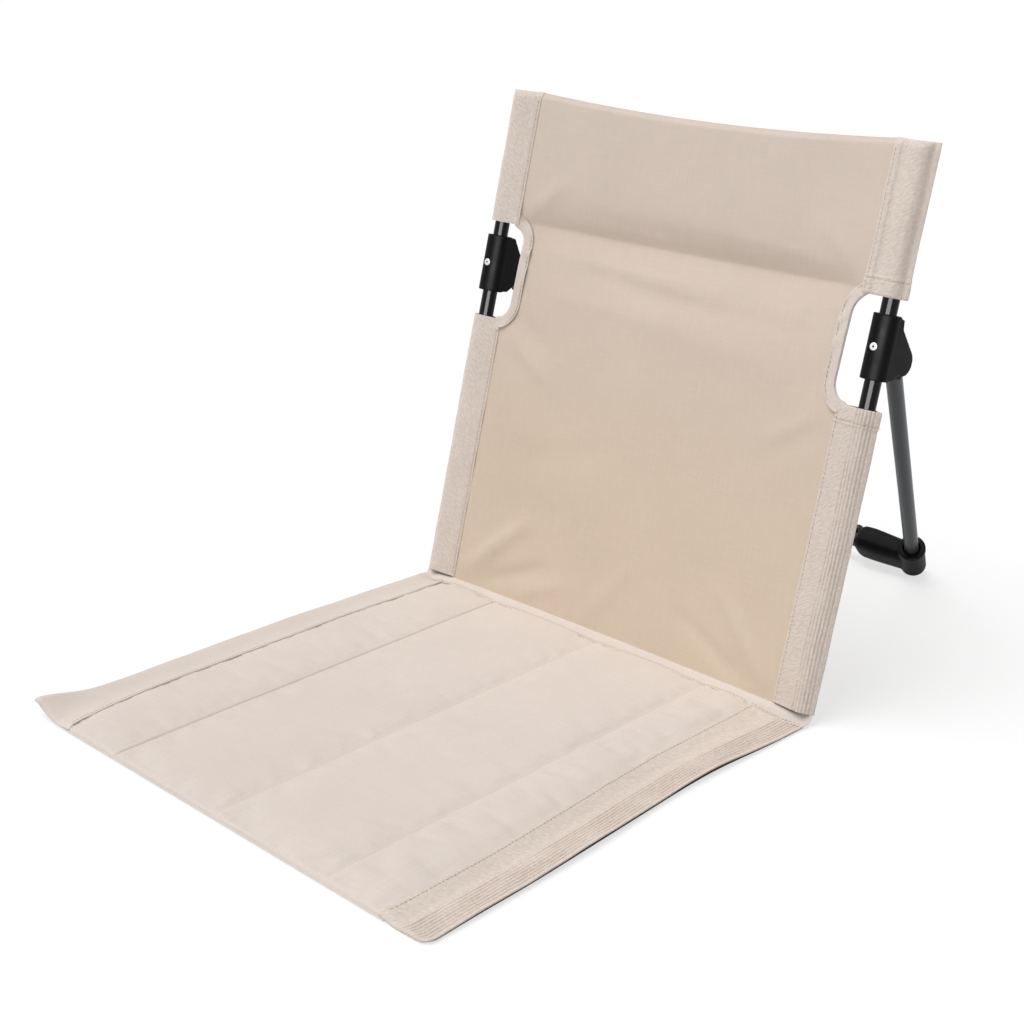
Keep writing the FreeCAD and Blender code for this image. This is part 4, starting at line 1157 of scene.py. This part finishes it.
class FLOORCHAIR_OT_seat_pad(bpy.types.Operator):
    """Make the thin channelled pad of the mat and swell it as cloth"""
    bl_idname = "floor_chair.seat_pad"
    bl_label = "Seat Pad"

    def execute(self, context):
        seams = channel_seams()
        beside = (np.array((-4.5, -3, -2, -1.2, -0.6, 0, 0.6, 1.2, 2, 3, 4.5)) * MM + seams[:, None]).ravel()
        even = [x for x in np.linspace(-PAD_SIDE, PAD_SIDE, 104) if np.abs(x - seams).min() > 6 * MM]
        columns = np.sort(np.concatenate((even, beside)))
        kept = cloth().channel_side + 6 * MM
        rows = spread(((MAT_FRONT, 0.7 * MM), (MAT_FRONT + 7 * MM, 3.6 * MM), (PAD_REAR, 1 * MM)))

        def place(across, along):
            x, y = at_share(columns, across), at_share(rows, along)
            edge = np.where(x < 0, pad_side(-1, y), pad_side(1, y))
            outer = np.clip(np.abs(x) - kept, 0, None) / (PAD_SIDE - kept)
            x = np.where(outer > 0, np.sign(x) * (kept + outer * (edge - kept)), x)
            height = pad_height(x, y)
            reach = np.clip((y - MAT_FRONT) / (6 * MM), 0, 1)
            roll = np.sqrt(1 - (1 - reach) ** 2)
            height = PAD_BASE + 0.3 * MM + (height - PAD_BASE - 0.3 * MM) * roll
            return np.stack((x, y, height), axis=-1), np.stack((x, y), axis=-1)

        pad = add_sheet("seat_pad", len(columns) - 1, len(rows) - 1, place)
        self.swell(pad, seams)
        base = pad.modifiers.new("Base", "SOLIDIFY")
        base.thickness, base.offset = 3.2 * MM, -1
        apply_modifiers(pad)
        lowest = PAD_BASE + 0.15 * MM
        for vertex in pad.data.vertices:
            if vertex.co.z < lowest:
                vertex.co.z = lowest
        shade_soft(pad)
        dress(pad, seat_canvas(), "seat", "seat_canvas", "seat_top_cover", "seat_foam_pads")
        return {"FINISHED"}

    def swell(self, pad, seams):
        """Let pressure swell the pad between its pinned seams, and cap how far a point may move."""
        held = pad.vertex_groups.new(name="sewn")
        for vertex in pad.data.vertices:
            x, y, _ = vertex.co
            sewn = min(abs(seams - x)) < 3.2 * MM or abs(x) > pad_side(x, y) - 0.3 * MM
            if sewn or y < MAT_FRONT + 3 * MM or y > PAD_REAR - 0.2 * MM:
                held.add([vertex.index], 1.0, "REPLACE")
        start = np.empty(len(pad.data.vertices) * 3)
        pad.data.vertices.foreach_get("co", start)
        swelling = pad.modifiers.new("Swelling", "CLOTH")
        settings = swelling.settings
        settings.quality, settings.mass = 6, 0.3
        settings.tension_stiffness = settings.compression_stiffness = 12
        settings.shear_stiffness, settings.bending_stiffness = 4, 0.6
        settings.vertex_group_mass = held.name
        settings.use_pressure, settings.uniform_pressure_force = True, 0.6
        settings.shrink_min = -0.012
        settings.effector_weights.gravity = 0
        swelling.collision_settings.use_collision = False
        scene = bpy.context.scene
        for step in range(1, SWELL_FRAMES + 1):
            scene.frame_set(step)
        apply_modifiers(pad)
        scene.frame_set(1)
        end = np.empty(len(pad.data.vertices) * 3)
        pad.data.vertices.foreach_get("co", end)
        moved = (end - start).reshape(-1, 3)
        far = np.linalg.norm(moved, axis=1)
        moved *= (SWELL_CAP * np.tanh(far / SWELL_CAP) / np.maximum(far, 1e-9))[:, None]
        pad.data.vertices.foreach_set("co", (start.reshape(-1, 3) + moved).ravel())
        pad.vertex_groups.clear()
        pad.data.update()


class FLOORCHAIR_OT_edge_strips(bpy.types.Operator):
    """Sew the strips along the mat's left and right edges"""
    bl_idname = "floor_chair.edge_strips"
    bl_label = "Edge Strips"

    def execute(self, context):
        c = cloth()
        rows = spread(((MAT_FRONT, 0.8 * MM), (MAT_FRONT + 22 * MM, 2.4 * MM), (MAT_REAR, 1 * MM)))
        for side, name, width in ((-1, "left", c.left_strip), (1, "right", c.right_strip)):
            def place(across, along, side=side, width=width):
                share = across if side > 0 else 1 - across
                y = at_share(rows, along)
                return strip_point(side, share, y), np.stack((share * width, y), axis=-1)

            strip = add_sheet(f"seat_{name}_strip", 150, len(rows) - 1, place, thickness=1.1 * MM)
            if side > 0:
                dress(strip, strip_cloth(), "seat", "strip_canvas", "seat_right_hem")
            else:
                dress(strip, seat_canvas(), "seat", "seat_canvas", "seat_left_hem")
        return {"FINISHED"}


class FLOORCHAIR_OT_underside(bpy.types.Operator):
    """Lay the dark cloth under the mat"""
    bl_idname = "floor_chair.underside"
    bl_label = "Underside"

    def execute(self, context):
        rows = spread(((MAT_FRONT, 0.8 * MM), (MAT_FRONT + 22 * MM, 5 * MM), (MAT_REAR, 1 * MM)))

        def place(across, along):
            y = at_share(rows, along)
            left = corner_inset(y, LEFT_CORNER) + 3 * MM
            right = corner_inset(y, RIGHT_CORNER) + edge_draw(y) + 1.2 * MM
            x = (2 * across - 1) * (MAT_SIDE - np.where(across < 0.5, left, right))
            edge = smooth(x, PAD_SIDE + 4 * MM, MAT_SIDE)
            z = 0.85 * MM + 0.7 * edge * edge_wave(y) + 0.9 * tip_curl(-x, y)
            return np.stack((x, y + 2 * MM * (1 - along), z), axis=-1), np.stack((x, y), axis=-1)

        base = add_sheet("seat_underside_cloth", 120, len(rows) - 1, place, thickness=0.7 * MM)
        dress(base, underside_cloth(), "seat", "underside_cloth", "seat_base_cloth")
        return {"FINISHED"}


class FLOORCHAIR_OT_fold_band(bpy.types.Operator):
    """Sew the band that joins the mat to the back"""
    bl_idname = "floor_chair.fold_band"
    bl_label = "Fold Band"

    def execute(self, context):
        def place(across, along):
            x = (2 * across - 1) * (MAT_SIDE - 0.8 * MM)
            away = np.abs(x) - SEAM_X
            outer, rim = smooth(away, -4 * MM, 8 * MM), smooth(away, 12 * MM, 31 * MM)
            knots = []
            for y, raised in ((PAD_REAR - 3.5 * MM, 0.35), (PAD_REAR - 1 * MM, 0.7)):
                along_y = np.full_like(x, y)
                knots.append(np.stack((x, along_y, mat_top(x, along_y) + raised * MM), axis=-1))
            low_y = HINGE_Y + 0.8 * MM + 3.5 * MM * rim
            low_z = 7.3 * MM - 1.0 * MM * outer - 2.4 * MM * rim
            knots.append(np.stack((x, low_y, low_z), axis=-1))
            for up, extra in ((2.2 * MM, 1.0 * MM), (5 * MM, 2 * MM), (9 * MM, 2 * MM)):
                up = up + extra * outer
                hidden = panel_depth(np.clip(x, -SEAM_X, SEAM_X), up) + 1.0 * MM
                depth = np.where(away > 0, pocket_front(np.clip(away, 0, None)) + 0.8 * MM, hidden)
                knots.append(on_back(x, depth, up))
            return through_knots(np.array(knots), along), np.stack((x, along * BAND_REACH), axis=-1)

        band = add_sheet("fold_band_canvas", 160, 44, place, thickness=0.5 * MM)
        dress(band, seat_canvas(), None, "seat_canvas", "seat_rear_band")
        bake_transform(band)
        return {"FINISHED"}


class FLOORCHAIR_OT_stitching(bpy.types.Operator):
    """Sew the visible rows of stitches on the mat and on the back"""
    bl_idname = "floor_chair.stitching"
    bl_label = "Stitching"

    def execute(self, context):
        c = cloth()
        proud = c.stitch_width * STITCH_PROUD
        along = np.linspace(MAT_FRONT + 6 * MM, MAT_REAR - 3 * MM, 160)
        seat_runs = [strip_point(side, np.full_like(along, 0.07), along, proud) for side in (-1, 1)]
        across = np.linspace(-MAT_SIDE + 4 * MM, MAT_SIDE - 4 * MM, 160)
        band_line = np.full_like(across, PAD_REAR - 1.6 * MM)
        band_top = mat_top(across, band_line) + 0.65 * MM + proud
        seat_runs.append(np.stack((across, band_line, band_top), axis=-1))
        seat = add_stitches("seat_stitching", seat_runs)
        dress(seat, sewing_thread(), "seat", "strip_canvas")

        back_runs = []
        for pocket in pockets():
            up = np.linspace(pocket.low + 3 * MM, pocket.high - 8 * MM, 90)
            back_runs.append(pocket.point(np.full_like(up, 0.03), up, proud))
            for end, hem, way in pocket.ends:
                if hem:
                    step = np.linspace(0.04, 0.46, 50)
                    seam = np.full_like(step, end + way * (hem - HEM_SEAM))
                    back_runs.append(pocket.point(step, seam, proud))
        back = add_stitches("back_stitching", back_runs)
        dress(back, sewing_thread(), "back", "strip_canvas")

        line, out, _ = tape_line()
        inner = (line - out * (c.tape_width / MM - 1.8))[14:-14] * MM
        behind = panel_depth(inner[:, 0], inner[:, 1]) - 1.4 * MM - proud
        tape_runs = [on_back(side * inner[:, 0], behind, inner[:, 1]) for side in (-1, 1)]
        tapes = add_stitches("tape_stitching", tape_runs)
        dress(tapes, sewing_thread(), "back", "strip_canvas")
        flatten_with_fold(tapes)
        return {"FINISHED"}


class FLOORCHAIR_OT_connectors(bpy.types.Operator):
    """Mould the two connectors that clamp the back tubes and hold the legs"""
    bl_idname = "floor_chair.connectors"
    bl_label = "Connectors"

    def execute(self, context):
        h = context.scene.floor_chair_hard
        low, high = h.connector_low, h.connector_low + h.connector_length
        centre = (TUBE_X, TUBE_DEPTH)
        turns = np.radians(np.linspace(50, -118, 20))
        lobe = [
            (h.pivot_depth + h.lobe_radius * math.cos(t), h.pivot_height + h.lobe_radius * math.sin(t))
            for t in turns
        ]
        edge = TUBE_DEPTH + h.connector_radius
        foot_line = ((edge, low + 1 * MM), (TUBE_DEPTH, low + 1 * MM), (TUBE_DEPTH, high - 1 * MM))
        eared = ((-0.5, -1), (3, -6), (8, -12.5), (13.2, -18))
        plain = ((-2, -2), (-0.5, -9))
        outlines = []
        for slope in (eared, plain):
            corners = ((edge + out * MM, high + drop * MM) for out, drop in slope)
            outlines.append([*foot_line, *corners, *lobe])
        slot_low, slot_high = h.pivot_across - h.tongue_room / 2, h.pivot_across + h.tongue_room / 2
        side = h.connector_radius - 0.1 * MM
        parts = [
            add_rod(h.connector_radius, (*centre, low), (*centre, high)),
            add_plate(outlines[0], TUBE_X - side, slot_low),
            add_plate(outlines[1], slot_high, TUBE_X + side),
            add_block(
                (TUBE_X - 9 * MM, TUBE_DEPTH, high - 9 * MM),
                (TUBE_X + 3 * MM, edge + 0.5 * MM, high - 0.6 * MM),
            ),
        ]
        cutters = [
            add_rod(TUBE_RADIUS + 0.25 * MM, (*centre, low - 9 * MM), (*centre, high + 9 * MM)),
            add_block((slot_low, edge + 0.6 * MM, low - 9 * MM), (slot_high, edge + 40 * MM, high - 9 * MM)),
        ]
        right = mould("right_connector_moulding", parts, cutters, grain=0.6 * MM, rounds=7)
        settle(right, BACK_PLACE)
        left = mirrored(right, "left_connector_moulding")
        dress(right, black_plastic(), "back", "black_plastic", "right_connector")
        dress(left, black_plastic(), "back", "black_plastic", "left_connector")
        return {"FINISHED"}


class FLOORCHAIR_OT_feet(bpy.types.Operator):
    """Mould the two feet with their leg sockets and crossbar arms"""
    bl_idname = "floor_chair.feet"
    bl_label = "Feet"

    def execute(self, context):
        h = context.scene.floor_chair_hard
        foot = Vector(h.foot_place)
        leg = Vector((h.pivot_across, *LEG_FOLD["pos_m"][1:])) - foot
        lean = math.atan2(-leg.y, leg.z)
        splay = math.atan2(leg.x, math.hypot(leg.y, leg.z))
        axis = Vector((math.sin(splay), 0, math.cos(splay)))
        middle = axis * (h.socket_length / 2)
        place = Matrix.Translation(foot) @ Matrix.Rotation(lean, 4, "X")
        end = h.arm_end - foot.x
        body = h.socket_radius - 0.9 * MM
        stations = (
            (middle.x, 10.6, 14.0, 0.0, -1.5), (-10 * MM, 11.2, 14.4, 0.0, -1.0),
            (-24 * MM, 11.9, 14.8, 0.2, 0.0), (-36 * MM, 12.3, 15.2, 0.5, 0.6),
            (-45 * MM, 12.0, 14.8, 0.6, 0.6), (end + 3.2 * MM, 10.8, 13.2, 0.5, 0.4),
            (end + 0.8 * MM, 8.8, 10.8, 0.2, 0.0), (end, 7.4, 9.2, 0.0, -0.2),
        )
        arm = [(x, a * MM, b * MM, y * MM, middle.z + z * MM) for x, a, b, y, z in stations]
        parts = [
            add_rod(body - 2.2 * MM, axis * 0.1 * MM, axis * 2.6 * MM, body - 0.4 * MM),
            add_rod(body, axis * 2.4 * MM, axis * (h.socket_length - 1 * MM)),
            add_rod(h.socket_radius, axis * (h.socket_length - 7 * MM), axis * h.socket_length),
            add_swelling(arm),
        ]
        beyond = axis * (h.socket_length + 10 * MM)
        mouth = axis * (h.socket_length + 0.4 * MM)
        bore = TUBE_RADIUS + 0.2 * MM
        bar_start, bar_end = (Vector((end + x * MM, 0, middle.z)) for x in (-10, 34))
        cutters = [
            add_rod(bore, axis * 8 * MM, beyond),
            add_rod(bore, axis * (h.socket_length - 6 * MM), mouth, TUBE_RADIUS + 1.9 * MM),
            add_rod(TUBE_RADIUS + 0.15 * MM, bar_start, bar_end),
            settle(add_block((0, 0, -0.06), (0.2, 0.6, 0)), place.inverted()),
        ]
        right = mould("right_foot_moulding", parts, cutters, grain=0.75 * MM, rounds=9)
        settle(right, place)
        left = mirrored(right, "left_foot_moulding")
        dress(right, black_plastic(), "legs", "black_plastic", "right_foot_elbow")
        dress(left, black_plastic(), "legs", "black_plastic", "left_foot_elbow")
        return {"FINISHED"}


class FLOORCHAIR_OT_hard_finishes(bpy.types.Operator):
    """Give the tubes, plugs, pins and other hard parts their finishes"""
    bl_idname = "floor_chair.hard_finishes"
    bl_label = "Hard Finishes"

    def execute(self, context):
        finishes = {
            back_enamel: ("left_back_tube", "right_back_tube"),
            leg_enamel: ("left_leg_tube", "right_leg_tube", "crossbar_tube"),
            black_plastic: ("tube_top_plugs", "tube_bottom_plugs", "left_leg_knuckle", "right_leg_knuckle"),
            gloss_plastic: ("crossbar_buttons",),
            rivet_metal: ("connector_rivets",),
            pin_metal: ("pivot_pins",),
        }
        for finish, nodes in finishes.items():
            for node in nodes:
                for place in frame["nodes"][node].material_slots:
                    place.material = finish()
        return {"FINISHED"}


class FLOORCHAIR_OT_stage(bpy.types.Operator):
    """Set up the floor, the lamps, the sky and the camera"""
    bl_idname = "floor_chair.stage"
    bl_label = "Stage"

    def execute(self, context):
        stage = context.scene.floor_chair_stage
        context.scene.view_settings.view_transform = "Standard"
        clear_selection()
        bpy.ops.mesh.primitive_circle_add(vertices=96, radius=40, fill_type="NGON")
        floor = context.object
        floor.name = floor.data.name = "studio_floor"
        floor.data.materials.append(self.floor_finish())
        self.set_sky(context.scene, stage.sky)
        self.add_sun(stage)
        self.add_lamp(
            "side_lamp", place=(0.94, -1.76, 0.7), target=(0.0, 0.28, 0.28), width=2.0, height=0.9,
            power=stage.side,
        )
        self.set_camera(context.scene, stage)
        return {"FINISHED"}

    def shown_to_rays(self, tree):
        """Tell the rays that see the background from the rays that carry its light."""
        rays = tree.nodes.new("ShaderNodeLightPath").outputs
        mirrored_or_clear = calc(tree, "MAXIMUM", rays["Is Glossy Ray"], rays["Is Transmission Ray"])
        return calc(tree, "MAXIMUM", rays["Is Camera Ray"], mirrored_or_clear)

    def floor_finish(self):
        """Pale floor that takes the shadow and is nearly white to the camera."""
        material, tree, shader = start_material("pale_studio_floor")
        shader.inputs["Roughness"].default_value = 0.9
        shader.inputs["Specular IOR Level"].default_value = 0.0
        shown = self.shown_to_rays(tree)
        shade = calc(tree, "MULTIPLY_ADD", shown, FLOOR_SEEN - FLOOR_LIT, FLOOR_LIT)
        tree.links.new(shade, shader.inputs["Base Color"])
        shader.inputs["Emission Color"].default_value = (1, 1, 1, 1)
        tree.links.new(calc(tree, "MULTIPLY", shown, FLOOR_GLOW), shader.inputs["Emission Strength"])
        return material

    def set_sky(self, scene, strength):
        """Even light from all round, white to the camera and in reflections."""
        world = bpy.data.worlds.new("studio_sky")
        scene.world = world
        world.use_nodes = True
        tree = world.node_tree
        back = tree.nodes["Background"]
        back.inputs["Color"].default_value = (1, 1, 1, 1)
        shown = self.shown_to_rays(tree)
        tree.links.new(calc(tree, "MULTIPLY_ADD", shown, 1 - strength, strength), back.inputs["Strength"])

    def add_sun(self, stage):
        """Add the wide soft key light that comes from above, in front and to one side."""
        clear_selection()
        bpy.ops.object.light_add(type="SUN")
        sun = bpy.context.object
        sun.name = sun.data.name = "key_light"
        sun.data.energy, sun.data.angle = stage.key, stage.key_width
        sun.rotation_euler = (math.pi / 2 - stage.key_height, 0, stage.key_turn)

    def add_lamp(self, name, place, target, width, height, power):
        """Add a soft rectangular lamp that faces a point and shows in reflections alone."""
        clear_selection()
        bpy.ops.object.light_add(type="AREA", location=place)
        lamp = bpy.context.object
        lamp.name = lamp.data.name = name
        lamp.data.shape, lamp.data.energy = "RECTANGLE", power
        lamp.data.size, lamp.data.size_y = width, height
        lamp.visible_diffuse = False
        lamp.rotation_euler = (Vector(target) - Vector(place)).to_track_quat("-Z", "Y").to_euler()

    def set_camera(self, scene, stage):
        """Stand the camera where the photograph was taken from."""
        az, el, roll = stage.azimuth, stage.elevation, stage.roll
        back = Vector((math.sin(az) * math.cos(el), -math.cos(az) * math.cos(el), math.sin(el)))
        right = (-back).cross(Vector((0, 0, 1))).normalized()
        up = right.cross(-back)
        turned = right * math.cos(roll) + up * math.sin(roll)
        up = up * math.cos(roll) - right * math.sin(roll)
        data = bpy.data.cameras.new("photo_camera")
        data.lens, data.sensor_width, data.sensor_height, data.sensor_fit = stage.lens, 36, 36, "HORIZONTAL"
        data.clip_start, data.clip_end = 0.01, 50
        camera = bpy.data.objects.new("photo_camera", data)
        scene.collection.objects.link(camera)
        axes = Matrix((turned, up, back)).transposed().to_4x4()
        camera.matrix_world = Matrix.Translation(Vector(stage.camera_place)) @ axes
        scene.camera = camera


class FLOORCHAIR_PT_parts(bpy.types.Panel):
    """List the chair's sizes, colours and pieces"""
    bl_idname = "FLOORCHAIR_PT_parts"
    bl_label = "Floor Chair"
    bl_space_type = "VIEW_3D"
    bl_region_type = "UI"
    bl_category = "Floor Chair"

    def draw(self, context):
        layout = self.layout
        for label in GROUPS:
            group, box = getattr(context.scene, label), layout.box()
            for key in group.bl_rna.properties.keys():
                if key not in ("rna_type", "name"):
                    box.prop(group, key)
        for operator in OPERATORS:
            layout.operator(operator.bl_idname)


GROUPS = {
    "floor_chair_cloth": FloorChairCloth,
    "floor_chair_hard": FloorChairHard,
    "floor_chair_colours": FloorChairColours,
    "floor_chair_stage": FloorChairStage,
}
OPERATORS = (
    FLOORCHAIR_OT_seat_pad,
    FLOORCHAIR_OT_edge_strips,
    FLOORCHAIR_OT_underside,
    FLOORCHAIR_OT_fold_band,
    FLOORCHAIR_OT_back_panel,
    FLOORCHAIR_OT_gap_tapes,
    FLOORCHAIR_OT_tube_pockets,
    FLOORCHAIR_OT_stitching,
    FLOORCHAIR_OT_connectors,
    FLOORCHAIR_OT_feet,
    FLOORCHAIR_OT_hard_finishes,
    FLOORCHAIR_OT_stage,
)


def register():
    for label, group in GROUPS.items():
        bpy.utils.register_class(group)
        setattr(bpy.types.Scene, label, bpy.props.PointerProperty(type=group))
    for made in (*OPERATORS, FLOORCHAIR_PT_parts):
        bpy.utils.register_class(made)


def unregister():
    for made in (FLOORCHAIR_PT_parts, *reversed(OPERATORS)):
        bpy.utils.unregister_class(made)
    for label, group in GROUPS.items():
        delattr(bpy.types.Scene, label)
        bpy.utils.unregister_class(group)


def main():
    register()
    known = set(frame["nodes"].values()) | set(frame["bodies"].values())
    for extra in [o for o in bpy.data.objects if o not in known and o.type in {"MESH", "LIGHT", "CAMERA"}]:
        bpy.data.objects.remove(extra)
    for operator in OPERATORS:
        group, name = operator.bl_idname.split(".")
        getattr(getattr(bpy.ops, group), name)()


if __name__ == "__main__":
    main()
